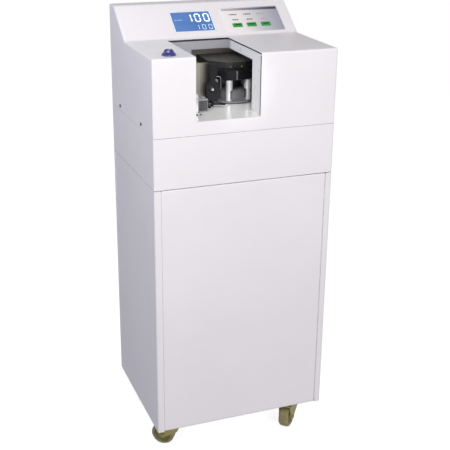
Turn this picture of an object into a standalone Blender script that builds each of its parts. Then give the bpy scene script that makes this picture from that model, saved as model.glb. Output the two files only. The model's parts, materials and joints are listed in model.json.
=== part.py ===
"""Floor-standing vacuum counting machine for bundled banknotes.

Metres, +Z up. The origin is on the floor under the middle of the cabinet, the front faces -Y.
A lower cabinet on four castors holds the vacuum pump. The head above it holds a counting bay, in which a
clamp grips a bundle of notes while a turret with five suction spindles peels them apart one by one.
"""

import math

import bmesh
import bpy
from mathutils import Matrix, Vector

# ---------------------------------------------------------------- driving dimensions
WIDTH = 0.450
DEPTH = 0.360
SHEET = 0.0015  # thickness of the painted sheet steel
GAP = 0.0003  # clearance between pieces that touch
SEAM = 0.0015  # visible gap between covers
HALF_SEAM = 0.0008  # what a cover gives up on its own side of a seam
BEND = 0.004  # outer radius of a bend

HALF_WIDTH = WIDTH / 2
FRONT = -DEPTH / 2
BACK = DEPTH / 2
REAR_SEAM = 0.165  # where the side sheets meet the wrapped rear panels

BASE_Z = 0.075  # underside of the cabinet
CABINET_TOP = 0.718  # seam between the cabinet and the head
TRAY_SHEET = 0.002  # thickness of the base pan and the shelf
SHELF_TOP = CABINET_TOP + 0.0035  # upper face of the shelf that carries the head
MIDDLE_TOP = 0.840  # seam between the middle cover and the top cover
FRAME_Z = 0.831  # upper face of the mechanism frame
TABLE_Z = 0.872  # counting table, the floor of the bay
SKIRT_Z = 0.992  # lower edge of the bay liner above the mechanism
DECK_Z = 1.019
TOP_Z = 1.090
CONSOLE_FOOT = 0.042  # y where the sloping console leaves the deck
CONSOLE_BROW = 0.136  # y where it reaches the top

BAY_LEFT, BAY_RIGHT, BAY_BACK = -0.124, 0.033, 0.034
LINER_SET_BACK = 0.003  # the liner stands this far outside the bay's edges
LINER_TOP = 1.0125  # its upper edge, a little below the deck
WINDOW_LEFT = -0.060  # the liner is open to the mechanism right of this
WINDOW_FRONT = -0.118  # and behind this on its right wall

TURRET = (0.033, 0.001)
SPINDLE_CIRCLE = 0.042
SPINDLE_RADIUS = 0.008
SPINDLE_COUNT = 5
FIRST_SPINDLE = math.radians(239)
SPINDLE_FACINGS = (338, 168, 66, 138, 300)  # degrees: where each spindle's flat looks at rest
SHAFT_RADIUS = 0.007
GEAR_MODULE = 0.0015
SUN_TEETH = 44
PINION_TEETH = 12
GEAR_LOW, GEAR_HIGH = 0.858, 0.866
PULLEY_LOW, PULLEY_HIGH = 0.770, 0.784
TURRET_PULLEY_RADIUS = 0.024
MOTOR = (0.150, 0.020)
MOTOR_PULLEY_RADIUS = 0.012

CLAMP_AXIS = (-0.079, 0.890)  # x and z of the clamp's rod
ARM_PIVOT = (-0.040, -0.050)
LEVER_PIVOT = (-0.051, -0.066)
KNOB = (-0.175, -0.144)

BUTTON_PLACES = (0.073, 0.111, 0.149)
BUTTON_HEIGHT = 0.035  # up the console's slope
DISPLAY = ((-0.0935, 0.020), (0.0135, 0.090))  # opening, in the console's own x and slope
KEYPAD = ((0.036, 0.012), (0.195, 0.095))

WHEEL_RADIUS = 0.030
WHEEL_WIDTH = 0.026
CASTOR_TRAIL = 0.030
# pivot x and y, and the direction in degrees in which the wheel trails
CASTORS = {
    "front_left": (-0.165, -0.128, 145),
    "front_right": (0.165, -0.128, 225),
    "rear_left": (-0.165, 0.128, 250),
    "rear_right": (0.165, 0.128, 200),
}
DOOR_PIVOT = (-0.2013, -0.1738)

INLET = ((0.128, 0.758), (0.156, 0.782))  # x and z corners of the power inlet
SWITCH = ((0.170, 0.758), (0.184, 0.782))

FINE, COARSE = 32, 20  # sides of large and of small round pieces


# ---------------------------------------------------------------- scene and materials
def clear_scene():
    for obj in list(bpy.data.objects):
        bpy.data.objects.remove(obj)


def collection(name):
    made = bpy.data.collections.new(name)
    bpy.context.scene.collection.children.link(made)
    return made


def finish(name, colour, roughness, metallic=0.0):
    made = bpy.data.materials.new(name)
    made.use_nodes = True
    shader = made.node_tree.nodes["Principled BSDF"]
    shader.inputs["Base Color"].default_value = (*colour, 1.0)
    shader.inputs["Roughness"].default_value = roughness
    shader.inputs["Metallic"].default_value = metallic
    return made


clear_scene()
MACHINE = collection("counting_machine")
CUTTERS = collection("cutters")

WHITE = finish("white_paint", (0.86, 0.84, 0.87), 0.35)
BLACK = finish("black_casting", (0.02, 0.02, 0.025), 0.45)
DARK = finish("dark_grey_paint", (0.09, 0.09, 0.10), 0.5)
STEEL = finish("bright_steel", (0.75, 0.75, 0.76), 0.22, 1.0)
TABLE_WHITE = finish("gloss_table", (0.80, 0.81, 0.80), 0.12)
ZINC = finish("yellow_zinc", (0.52, 0.47, 0.20), 0.32, 1.0)
WHEEL = finish("amber_wheel", (0.30, 0.24, 0.10), 0.5)
BLUE = finish("blue_plastic", (0.03, 0.03, 0.22), 0.3)
GREEN = finish("green_plastic", (0.02, 0.42, 0.06), 0.4)
LCD = finish("lcd_glass", (0.03, 0.12, 0.45), 0.15)
SILVER = finish("silver_overlay", (0.62, 0.62, 0.68), 0.4)
RUBBER = finish("black_rubber", (0.03, 0.03, 0.03), 0.8)
BOARD = finish("circuit_board", (0.02, 0.18, 0.08), 0.5)
GREY_ALLOY = finish("pump_alloy", (0.35, 0.37, 0.40), 0.5, 0.6)


# ---------------------------------------------------------------- modelling helpers
def place(name, data, material, home=None, parent=None):
    """Puts mesh or curve data in the scene as one named object."""
    obj = bpy.data.objects.new(name, data)
    (home or MACHINE).objects.link(obj)
    if material:
        data.materials.append(material)
    if parent:
        obj.parent = parent
    return obj


def mesh_of(name, bm):
    mesh = bpy.data.meshes.new(name)
    bm.to_mesh(mesh)
    bm.free()
    return mesh


def as_cutter(obj):
    obj.hide_render = True
    obj.display_type = "WIRE"
    return obj


def box(name, low, high, material=None, rounding=0.0, parent=None, home=None):
    """A block between two opposite corners, with rounded edges if asked."""
    low, high = Vector(low), Vector(high)
    bm = bmesh.new()
    bmesh.ops.create_cube(bm, size=1.0)
    bmesh.ops.scale(bm, vec=high - low, verts=bm.verts)
    bmesh.ops.translate(bm, vec=(low + high) / 2, verts=bm.verts)
    obj = place(name, mesh_of(name, bm), material, home, parent)
    if rounding:
        bevel(obj, rounding)
    return obj


def cylinder(name, radius, low, high, at, material=None, sides=COARSE, home=None, axis="Z"):
    """A round bar from low to high along its axis; at gives the two other coordinates."""
    bm = bmesh.new()
    bmesh.ops.create_cone(
        bm, cap_ends=True, segments=sides, radius1=radius, radius2=radius, depth=high - low
    )
    middle = (low + high) / 2
    if axis == "X":
        turn, centre = Matrix.Rotation(math.pi / 2, 4, "Y"), (middle, at[0], at[1])
    elif axis == "Y":
        turn, centre = Matrix.Rotation(math.pi / 2, 4, "X"), (at[0], middle, at[1])
    else:
        turn, centre = Matrix.Identity(4), (at[0], at[1], middle)
    bmesh.ops.transform(bm, matrix=turn, verts=bm.verts)
    bmesh.ops.translate(bm, vec=centre, verts=bm.verts)
    return place(name, mesh_of(name, bm), material, home)


def bevel(obj, width, segments=2, angle=30):
    modifier = obj.modifiers.new("rounded_edges", "BEVEL")
    modifier.width = width
    modifier.segments = segments
    modifier.limit_method = "ANGLE"
    modifier.angle_limit = math.radians(angle)
    return modifier


def solidify(obj, thickness, outward=False):
    modifier = obj.modifiers.new("sheet", "SOLIDIFY")
    modifier.thickness = thickness
    modifier.offset = 1.0 if outward else -1.0
    modifier.use_even_offset = True
    return modifier


def combine(obj, other, operation):
    modifier = obj.modifiers.new(operation.lower(), "BOOLEAN")
    modifier.operation = operation
    modifier.solver = "EXACT"
    modifier.object = other
    as_cutter(other)
    if other.name not in CUTTERS.objects:
        CUTTERS.objects.link(other)
        MACHINE.objects.unlink(other)
    return obj


def cut(obj, *cutters):
    for other in cutters:
        combine(obj, other, "DIFFERENCE")
    return obj


def fuse(obj, *others):
    for other in others:
        combine(obj, other, "UNION")
    return obj


def turned(name, profile, at, material, steps=FINE, closed=False):
    """A lathe shape about a vertical axis: profile is (radius, height) down its outer side."""
    count = len(profile)
    edges = [(i, i + 1) for i in range(count - 1)]
    if closed:
        edges.append((count - 1, 0))
    mesh = bpy.data.meshes.new(name)
    mesh.from_pydata([(r, 0.0, z) for r, z in profile], edges, [])
    obj = place(name, mesh, material)
    obj.location = at
    screw = obj.modifiers.new("lathe", "SCREW")
    screw.steps = screw.render_steps = steps
    screw.use_merge_vertices = True
    screw.merge_threshold = 0.00001
    return obj


def plate(name, outlines, low, high, material=None):
    """A flat plate from closed outlines in XY; every outline after the first is a hole."""
    curve = bpy.data.curves.new(name, "CURVE")
    curve.dimensions = "2D"
    curve.fill_mode = "BOTH"
    curve.extrude = (high - low) / 2
    for outline in outlines:
        spline = curve.splines.new("POLY")
        spline.points.add(len(outline) - 1)
        for point, (x, y) in zip(spline.points, outline):
            point.co = (x, y, 0.0, 1.0)
        spline.use_cyclic_u = True
    obj = place(name, curve, material)
    obj.location.z = (low + high) / 2
    return obj


def as_mesh(obj):
    """The same object with its curve turned into a closed mesh, so that it can be cut or joined."""
    bpy.context.view_layer.update()
    graph = bpy.context.evaluated_depsgraph_get()
    mesh = bpy.data.meshes.new_from_object(obj.evaluated_get(graph))
    bm = bmesh.new()
    bm.from_mesh(mesh)
    bmesh.ops.remove_doubles(bm, verts=bm.verts, dist=0.000001)
    bmesh.ops.recalc_face_normals(bm, faces=bm.faces)
    bm.to_mesh(mesh)
    bm.free()
    name, matrix = obj.name, obj.matrix_world.copy()
    bpy.data.objects.remove(obj)
    made = place(name, mesh, None)
    made.matrix_world = matrix
    return made


def circle(centre, radius, sides=FINE, start=0.0, sweep=2 * math.pi, ends=False):
    """Points round a circle or an arc."""
    steps = sides + 1 if ends else sides
    return [
        (
            centre[0] + radius * math.cos(start + sweep * i / sides),
            centre[1] + radius * math.sin(start + sweep * i / sides),
        )
        for i in range(steps)
    ]


def rounded_path(path, radius, steps=3):
    """An open path with each inner corner replaced by an arc."""
    points = [Vector(path[0])]
    for before, corner, after in zip(path, path[1:], path[2:]):
        corner = Vector(corner)
        back = (Vector(before) - corner).normalized()
        ahead = (Vector(after) - corner).normalized()
        half = back.angle(ahead) / 2
        reach = radius / math.tan(half)
        centre = corner + (back + ahead).normalized() * (radius / math.sin(half))
        first = corner + back * reach - centre
        last = corner + ahead * reach - centre
        for i in range(steps + 1):
            share = i / steps
            arm = first.lerp(last, share).normalized() * radius
            points.append(centre + arm)
    points.append(Vector(path[-1]))
    return points


def folded_sheet(
    name, path, low, high, material, plane="XY", thickness=SHEET, radius=BEND, side="right"
):
    """Sheet metal folded along a path in a plane, running from low to high across that plane.

    The metal lies on the named side of the path, walking along it with the plane's first axis
    to the right and its second axis up.
    """
    across = {
        "XY": lambda u, v, w: (u, v, w),
        "XZ": lambda u, v, w: (u, w, v),
        "YZ": lambda u, v, w: (w, u, v),
    }[plane]
    points = rounded_path(path, radius) if len(path) > 2 else [Vector(p) for p in path]
    bm = bmesh.new()
    rows = [[bm.verts.new(across(p.x, p.y, w)) for p in points] for w in (low, high)]
    for i in range(len(points) - 1):
        bm.faces.new((rows[0][i], rows[0][i + 1], rows[1][i + 1], rows[1][i]))
    obj = place(name, mesh_of(name, bm), material)
    normal_is_left = plane == "XZ"
    solidify(obj, thickness, outward=(side == "left") == normal_is_left)
    return obj


def open_box(name, low, high, open_sides, material, rounding=BEND, thickness=SHEET):
    """A box of sheet metal without the named sides, such as '-z' for the bottom."""
    low, high = Vector(low), Vector(high)
    bm = bmesh.new()
    bmesh.ops.create_cube(bm, size=1.0)
    bmesh.ops.scale(bm, vec=high - low, verts=bm.verts)
    bmesh.ops.translate(bm, vec=(low + high) / 2, verts=bm.verts)
    bm.normal_update()
    for side in open_sides:
        sign = -1.0 if side[0] == "-" else 1.0
        normal = Vector([sign if axis == side[1] else 0.0 for axis in "xyz"])
        gone = [f for f in bm.faces if f.normal.dot(normal) > 0.9]
        bmesh.ops.delete(bm, geom=gone, context="FACES")
    obj = place(name, mesh_of(name, bm), material)
    if rounding:
        bevel(obj, rounding, segments=3)
    solidify(obj, thickness)
    return obj


def gear_outline(teeth, module, phase):
    """A straight-flanked gear about the origin, with a tooth centred on the angle phase."""
    pitch = teeth * module / 2
    tip, root = pitch + 0.85 * module, pitch - 1.15 * module
    step = 2 * math.pi / teeth
    shape = ((root, -0.30), (tip, -0.12), (tip, 0.12), (root, 0.30))
    points = []
    for k in range(teeth):
        for radius, share in shape:
            angle = phase + (k + share) * step
            points.append((radius * math.cos(angle), radius * math.sin(angle)))
    return points


# ---------------------------------------------------------------- lower cabinet
def side_panel(name, side):
    """Side sheet with a front return beside the door and a rear return for the rear panel."""
    edge = side * HALF_WIDTH
    path = (
        (edge - side * 0.016, FRONT),
        (edge, FRONT),
        (edge, REAR_SEAM),
        (edge - side * 0.012, REAR_SEAM),
    )
    metal = "right" if side < 0 else "left"
    return folded_sheet(name, path, BASE_Z, CABINET_TOP - HALF_SEAM, WHITE, side=metal)


def base_pan():
    inside = HALF_WIDTH - SHEET - GAP
    pan = open_box(
        "base_pan", (-inside, FRONT + BEND, BASE_Z), (inside, REAR_SEAM - BEND, BASE_Z + 0.022),
        ("+z", "-y"), WHITE, rounding=0.0, thickness=TRAY_SHEET,
    )
    pin_hole = cylinder("base_pin_hole", 0.0034, BASE_Z - 0.01, BASE_Z + 0.01, DOOR_PIVOT)
    return cut(pan, pin_hole)


DOOR_LOW = (-0.2084, FRONT, BASE_Z + 0.0025)
DOOR_HIGH = (0.2084, FRONT + 0.017, CABINET_TOP - 0.0010)


def front_door():
    door = open_box("front_door", DOOR_LOW, DOOR_HIGH, ("+y",), WHITE, rounding=0.003)
    for name, z in (("door_top_hole", DOOR_HIGH[2]), ("door_bottom_hole", DOOR_LOW[2])):
        cut(door, cylinder(name, 0.0034, z - 0.006, z + 0.006, DOOR_PIVOT))
    return door


def door_pins():
    """Two pivot pins: each sits in the frame and reaches through the door's flange."""
    shelf_under = SHELF_TOP - TRAY_SHEET
    top = ((0, shelf_under - GAP), (0.003, shelf_under - GAP), (0.003, DOOR_HIGH[2] - 0.010),
           (0, DOOR_HIGH[2] - 0.010))
    bottom = ((0, DOOR_LOW[2] + 0.010), (0.003, DOOR_LOW[2] + 0.010), (0.003, BASE_Z + 0.0003),
              (0, BASE_Z + 0.0003))
    turned("door_pin_top", top, (*DOOR_PIVOT, 0), STEEL, COARSE)
    turned("door_pin_bottom", bottom, (*DOOR_PIVOT, 0), STEEL, COARSE)


def vent_slots(name, x, low, count):
    """A ladder of slots to cut through a rear panel, as one cutter."""
    slot = box(name, (x - 0.045, BACK - 0.01, low), (x + 0.045, BACK + 0.01, low + 0.005), home=CUTTERS)
    ladder = slot.modifiers.new("ladder", "ARRAY")
    ladder.count = count
    ladder.use_relative_offset = False
    ladder.use_constant_offset = True
    ladder.constant_offset_displace = (0, 0, 0.015)
    ladder.use_merge_vertices = False
    return slot


def rear_panel_lower():
    path = (
        (-HALF_WIDTH, REAR_SEAM + SEAM),
        (-HALF_WIDTH, BACK),
        (HALF_WIDTH, BACK),
        (HALF_WIDTH, REAR_SEAM + SEAM),
    )
    panel = folded_sheet("rear_panel_lower", path, BASE_Z, CABINET_TOP - HALF_SEAM, WHITE)
    return cut(panel, vent_slots("vents_left", -0.09, 0.56, 7), vent_slots("vents_right", 0.09, 0.56, 7))


def shelf():
    """Inverted tray that closes the cabinet and carries the head."""
    inside = HALF_WIDTH - SHEET - GAP
    tray = open_box(
        "shelf", (-inside, FRONT + BEND, CABINET_TOP - 0.018), (inside, REAR_SEAM - BEND, SHELF_TOP),
        ("-z", "-y"), DARK, rounding=0.0, thickness=TRAY_SHEET,
    )
    hose_hole = cylinder("shelf_hose_hole", 0.012, CABINET_TOP - 0.01, CABINET_TOP + 0.01, TURRET)
    return cut(tray, hose_hole)


def vacuum_pump():
    """Electric motor and rotary vane pump on one foot, with an upright suction port."""
    z = 0.160
    motor = cylinder("vacuum_pump", 0.058, -0.120, 0.040, (0.010, z), GREY_ALLOY, FINE, axis="X")
    flange = cylinder("pump_flange", 0.066, 0.030, 0.046, (0.010, z), axis="X")
    head = cylinder("pump_head", 0.046, 0.040, 0.110, (0.010, z), sides=24, axis="X")
    cowl = cylinder("pump_cowl", 0.062, -0.150, -0.115, (0.010, z), sides=24, axis="X")
    foot = box("pump_foot", (-0.110, -0.055, BASE_Z + 0.002 + GAP), (0.095, 0.075, 0.092))
    pedestal = box("pump_pedestal", (-0.090, -0.025, 0.088), (0.080, 0.045, 0.130))
    port = cylinder("pump_port", 0.007, 0.190, 0.228, (0.080, 0.010))
    return fuse(motor, flange, head, cowl, foot, pedestal, port)


def vacuum_hose():
    """Hose from the pump's port up to the lower end of the turret's hollow shaft."""
    route = [
        Vector(p)
        for p in (
            (0.080, 0.010, 0.2285), (0.080, 0.010, 0.290), (0.070, 0.022, 0.370), (0.050, 0.030, 0.460),
            (0.036, 0.022, 0.550), (0.033, 0.006, 0.630), (0.033, 0.001, 0.690), (0.033, 0.001, 0.7480),
        )
    ]
    curve = bpy.data.curves.new("vacuum_hose", "CURVE")
    curve.dimensions = "3D"
    curve.bevel_depth = 0.008
    curve.bevel_resolution = 3
    curve.use_fill_caps = True
    spline = curve.splines.new("POLY")
    points = smooth_route(route, 4)
    spline.points.add(len(points) - 1)
    for point, place_ in zip(spline.points, points):
        point.co = (*place_, 1.0)
    return place("vacuum_hose", curve, RUBBER)


def smooth_route(route, steps):
    """Points along a smooth curve through every point of the route."""
    padded = [2 * route[0] - route[1], *route, 2 * route[-1] - route[-2]]
    points = []
    for a, b, c, d in zip(padded, padded[1:], padded[2:], padded[3:]):
        for i in range(steps):
            t = i / steps
            square = (2 * a - 5 * b + 4 * c - d) * t**2
            cube = (3 * b - a - 3 * c + d) * t**3
            points.append((2 * b + (c - a) * t + square + cube) / 2)
    points.append(route[-1])
    return points


# ---------------------------------------------------------------- castors
def castor(corner, x, y, degrees):
    """A swivel castor: a fixed plate, a fork that swivels and a wheel that spins."""
    heading = math.radians(degrees)
    along = Vector((math.cos(heading), math.sin(heading), 0))
    wheel_centre = Vector((x, y, WHEEL_RADIUS)) + along * CASTOR_TRAIL
    axle_place = (CASTOR_TRAIL, WHEEL_RADIUS)

    top = box(
        f"castor_plate_{corner}", (x - 0.030, y - 0.024, 0.0717), (x + 0.030, y + 0.024, BASE_Z - GAP),
        ZINC, 0.001,
    )
    fuse(top, cylinder(f"race_{corner}", 0.016, 0.0672, 0.0725, (x, y), sides=24))

    pivot = bpy.data.objects.new(f"swivel_{corner}", None)
    MACHINE.objects.link(pivot)
    pivot.location = (x, y, 0)
    pivot.rotation_euler.z = heading

    crown = as_mesh(plate(f"castor_fork_{corner}", [fork_crown_outline()], 0.0625, 0.0667, ZINC))
    cheek_middle = WHEEL_WIDTH / 2 + 0.00275
    for side in (-1, 1):
        leg = as_mesh(plate(f"leg_{corner}_{side}", [fork_leg_outline()], -0.00125, 0.00125))
        leg.rotation_euler.x = math.pi / 2
        leg.location.y = side * cheek_middle
        leg.parent = pivot
        fuse(crown, leg)
    apron = box(
        f"apron_{corner}", (-0.0105, -cheek_middle, 0.0440), (-0.0080, cheek_middle, 0.0650), parent=pivot
    )
    fuse(crown, apron)
    axle = cylinder(f"axle_{corner}", 0.004, -0.019, 0.019, axle_place, sides=16, axis="Y")
    axle.parent = pivot
    fuse(crown, axle)
    crown.parent = pivot

    half = WHEEL_WIDTH / 2
    profile = (
        (0.0045, half), (0.010, half), (0.0115, half - 0.0025), (0.0205, half - 0.0025),
        (0.022, half - 0.0005), (0.0275, half - 0.0005), (WHEEL_RADIUS, half - 0.004),
        (WHEEL_RADIUS, -half + 0.004), (0.0275, -half + 0.0005), (0.022, -half + 0.0005),
        (0.0205, -half + 0.0025), (0.0115, -half + 0.0025), (0.010, -half), (0.0045, -half),
    )
    wheel = turned(f"castor_wheel_{corner}", profile, wheel_centre, WHEEL, FINE, closed=True)
    wheel.rotation_euler = (math.pi / 2, 0, heading)


def fork_crown_outline():
    """Round over the race, then tapering back to the legs, in the fork's own frame."""
    back = circle((0, 0), 0.0195, 12, math.radians(70), math.radians(220), ends=True)
    right = [(0.020, -0.0178), (0.042, -0.0172), (0.046, -0.0140)]
    left = [(x, -y) for x, y in reversed(right)]
    return [*back, *right, *left]


def fork_leg_outline():
    """A pressed cheek seen from the side: as wide as the wheel above, round about the axle."""
    low, sweep = math.radians(200), math.radians(160)
    boss = circle((CASTOR_TRAIL, WHEEL_RADIUS), 0.0105, 8, low, sweep, ends=True)
    front = [(-0.0100, 0.0660), (-0.0100, 0.0450), (0.0020, 0.0375), (0.0140, 0.0285)]
    return [*front, *boss, (0.0430, 0.0400), (0.0455, 0.0520), (0.0455, 0.0660)]


# ---------------------------------------------------------------- covers of the head
def middle_cover():
    path = (
        (-HALF_WIDTH, REAR_SEAM),
        (-HALF_WIDTH, FRONT),
        (HALF_WIDTH, FRONT),
        (HALF_WIDTH, REAR_SEAM),
    )
    return folded_sheet(
        "middle_cover", path, CABINET_TOP + HALF_SEAM, MIDDLE_TOP - 0.0004, WHITE, side="left"
    )


def console_plane():
    """An empty on the console's foot: its x is the machine's, its y runs up the slope."""
    plane = bpy.data.objects.new("console_plane", None)
    MACHINE.objects.link(plane)
    plane.location = (0, CONSOLE_FOOT, DECK_Z)
    plane.rotation_euler.x = math.atan2(TOP_Z - DECK_Z, CONSOLE_BROW - CONSOLE_FOOT)
    return plane


def top_cover(plane):
    """Sides, front, deck and sloping console in one shell, open below and behind."""
    profile = (
        (FRONT, MIDDLE_TOP + 0.0004),
        (FRONT, DECK_Z),
        (CONSOLE_FOOT, DECK_Z),
        (CONSOLE_BROW, TOP_Z),
        (REAR_SEAM, TOP_Z),
        (REAR_SEAM, MIDDLE_TOP + 0.0004),
    )
    bm = bmesh.new()
    side = bm.faces.new([bm.verts.new((-HALF_WIDTH, y, z)) for y, z in profile])
    grown = bmesh.ops.extrude_face_region(bm, geom=[side], use_keep_orig=True)
    far = [g for g in grown["geom"] if isinstance(g, bmesh.types.BMVert)]
    bmesh.ops.translate(bm, vec=(WIDTH, 0, 0), verts=far)
    bmesh.ops.recalc_face_normals(bm, faces=bm.faces)
    gone = [f for f in bm.faces if f.normal.z < -0.9 or f.normal.y > 0.9]
    bmesh.ops.delete(bm, geom=gone, context="FACES")
    cover = place("top_cover", mesh_of("top_cover", bm), WHITE)
    bevel(cover, BEND, segments=3, angle=20)
    solidify(cover, SHEET)
    bay = box("bay_cut", (BAY_LEFT, FRONT - 0.01, TABLE_Z), (BAY_RIGHT, BAY_BACK, DECK_Z + 0.01))
    display = box("display_cut", (*DISPLAY[0], -0.01), (*DISPLAY[1], 0.01), parent=plane)
    keypad = box("keypad_cut", (*KEYPAD[0], -0.01), (*KEYPAD[1], 0.01), parent=plane)
    knob_hole = cylinder("knob_hole", 0.0042, DECK_Z - 0.01, DECK_Z + 0.01, KNOB)
    return cut(cover, bay, display, keypad, knob_hole)


def rear_panel_upper():
    panel = open_box(
        "rear_panel_upper",
        (-HALF_WIDTH, REAR_SEAM + SEAM, CABINET_TOP + HALF_SEAM), (HALF_WIDTH, BACK, TOP_Z),
        ("-y", "-z"), WHITE,
    )
    near, far = BACK - 0.01, BACK + 0.01
    inlet = box("inlet_cut", (INLET[0][0], near, INLET[0][1]), (INLET[1][0], far, INLET[1][1]))
    switch = box("switch_cut", (SWITCH[0][0], near, SWITCH[0][1]), (SWITCH[1][0], far, SWITCH[1][1]))
    return cut(panel, inlet, switch, vent_slots("vents_upper", 0.0, 0.90, 5))


def bay_liner():
    """White walls round the bay, cut away where the mechanism reaches into it."""
    left, right = BAY_LEFT - LINER_SET_BACK, BAY_RIGHT + LINER_SET_BACK
    back, front = BAY_BACK + LINER_SET_BACK, FRONT + BEND + GAP
    path = ((left, front), (left, back), (right, back), (right, front))
    liner = folded_sheet(
        "bay_liner", path, TABLE_Z + GAP, LINER_TOP, WHITE,
        thickness=0.0012, radius=0.0012, side="left"
    )
    below, beyond = TABLE_Z - 0.01, right + 0.01
    rear = box("liner_rear_window", (WINDOW_LEFT, back - 0.01, below), (beyond, back + 0.01, SKIRT_Z))
    side = box("liner_side_window", (right - 0.01, WINDOW_FRONT, below), (beyond, back - 0.005, SKIRT_Z))
    return cut(liner, rear, side)


# ---------------------------------------------------------------- mechanism structure
def mechanism_frame():
    foot = SHELF_TOP + GAP
    path = ((-0.195, foot), (-0.195, FRAME_Z), (0.195, FRAME_Z), (0.195, foot))
    frame = folded_sheet("mechanism_frame", path, -0.160, 0.120, DARK, "XZ", 0.003)
    return cut(
        frame,
        cylinder("frame_bearing_hole", 0.0190, FRAME_Z - 0.01, FRAME_Z + 0.01, TURRET, sides=FINE),
        cylinder("frame_motor_hole", 0.0100, FRAME_Z - 0.01, FRAME_Z + 0.01, MOTOR),
    )


def counting_table():
    low = FRAME_Z + GAP
    path = ((-0.150, low), (-0.150, TABLE_Z), (0.108, TABLE_Z), (0.108, low))
    table = folded_sheet(
        "counting_table", path, FRONT + SHEET + 2 * GAP, 0.070, TABLE_WHITE, "XZ", SHEET, 0.002
    )
    return cut(
        table,
        cylinder("table_turret_hole", 0.0545, TABLE_Z - 0.01, TABLE_Z + 0.01, TURRET, sides=48),
        cylinder("table_arm_hole", 0.0056, TABLE_Z - 0.01, TABLE_Z + 0.01, ARM_PIVOT),
        cylinder("table_lever_hole", 0.0036, TABLE_Z - 0.01, TABLE_Z + 0.01, LEVER_PIVOT),
    )


def rear_partition():
    path = ((0.115, FRAME_Z + GAP), (0.086, FRAME_Z + GAP), (0.086, 1.008))
    return folded_sheet("rear_partition", path, -0.200, 0.200, DARK, "YZ", SHEET, 0.003)


# ---------------------------------------------------------------- turret
def turret_shaft():
    low, high = 0.7485, 0.964
    profile = ((0, high), (SHAFT_RADIUS, high), (SHAFT_RADIUS, low), (0.004, low), (0.004, low + 0.012),
               (0, low + 0.012))
    return turned("turret_shaft", profile, (*TURRET, 0), STEEL, 24)


def turret_base():
    """Lower disc with the suction drum standing on it."""
    bore = SHAFT_RADIUS + GAP
    profile = (
        (bore, 0.9285), (0.013, 0.9285), (0.013, 0.9050), (0.0315, 0.9040), (0.0325, 0.9030),
        (0.0325, 0.8775), (0.0530, 0.8775), (0.0530, 0.8735), (0.0520, 0.8727), (bore, 0.8727),
    )
    disc = turned("turret_base", profile, (*TURRET, 0), DARK, 48, closed=True)
    for i in range(SPINDLE_COUNT):
        cut(disc, cylinder(f"base_journal_{i + 1}", 0.0036, 0.86, 0.89, spindle_place(i), sides=16))
    return disc


def turret_head():
    """Upper disc that holds the tops of the spindles."""
    bore = SHAFT_RADIUS + GAP
    profile = (
        (bore, 0.9540), (0.0490, 0.9540), (0.0510, 0.9520), (0.0510, 0.9290), (bore, 0.9290),
    )
    head = turned("turret_head", profile, (*TURRET, 0), BLACK, 48, closed=True)
    for i in range(SPINDLE_COUNT):
        cut(head, cylinder(f"head_journal_{i + 1}", 0.0036, 0.92, 0.936, spindle_place(i), sides=16))
    return head


def spindle_angle(i):
    return FIRST_SPINDLE + i * 2 * math.pi / SPINDLE_COUNT


def spindle_place(i):
    angle = spindle_angle(i)
    return (TURRET[0] + SPINDLE_CIRCLE * math.cos(angle), TURRET[1] + SPINDLE_CIRCLE * math.sin(angle))


def suction_spindle(i):
    """Hollow-faced spindle with its pinion: the lower half is cut flat, and ports open in the flat."""
    x, y = spindle_place(i)
    journal, body_low, body_high = 0.003, 0.8780, 0.9286
    profile = (
        (0, 0.935), (journal, 0.935), (journal, body_high), (SPINDLE_RADIUS - 0.0005, body_high),
        (SPINDLE_RADIUS, body_high - 0.0005), (SPINDLE_RADIUS, body_low), (journal, body_low),
        (journal, GEAR_HIGH - 0.001), (0, GEAR_HIGH - 0.001),
    )
    spindle = turned(f"suction_spindle_{i + 1}", profile, (x, y, 0), STEEL, 24)
    facing = math.radians(SPINDLE_FACINGS[i])
    relief = box(f"relief_{i + 1}", (0.0026, -0.02, 0.86), (0.02, 0.02, 0.904), rounding=0.004)
    slot = box(f"slot_{i + 1}", (0.0008, -0.0012, 0.884), (0.012, 0.0012, 0.898))
    upper_slot = box(f"upper_slot_{i + 1}", (0.0055, -0.0012, 0.908), (0.012, 0.0012, 0.921))
    for cutter in (relief, slot, upper_slot):
        cutter.location = (x, y, 0)
        cutter.rotation_euler.z = facing
    relief.location.z = body_low - 0.86
    return fuse(cut(spindle, relief, slot, upper_slot), pinion(i))


def pinion(i):
    """The spindle's gear, turned so that one of its gaps takes the sun's tooth."""
    angle = spindle_angle(i)
    sun_step, own_step = 2 * math.pi / SUN_TEETH, 2 * math.pi / PINION_TEETH
    share = (angle / sun_step) % 1.0
    phase = angle + math.pi + (share + 0.5) * own_step
    outline = gear_outline(PINION_TEETH, GEAR_MODULE, phase)
    gear = plate(f"pinion_{i + 1}", [outline], GEAR_LOW, GEAR_HIGH)
    gear.location.x, gear.location.y = spindle_place(i)
    return as_mesh(gear)


def sun_gear():
    outline = gear_outline(SUN_TEETH, GEAR_MODULE, 0.0)
    gear = plate("sun_gear", [outline, circle((0, 0), 0.010, 24)], GEAR_LOW, GEAR_HIGH, STEEL)
    gear.location.x, gear.location.y = TURRET
    return gear


def bearing_housing():
    bore = SHAFT_RADIUS + GAP
    profile = (
        (bore, GEAR_LOW - GAP), (0.0160, GEAR_LOW - GAP), (0.0180, 0.8365), (0.0300, 0.8360),
        (0.0300, FRAME_Z + GAP), (0.0185, FRAME_Z + GAP), (0.0185, 0.7960), (bore, 0.7960),
    )
    return turned("bearing_housing", profile, (*TURRET, 0), GREY_ALLOY, FINE, closed=True)


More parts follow.
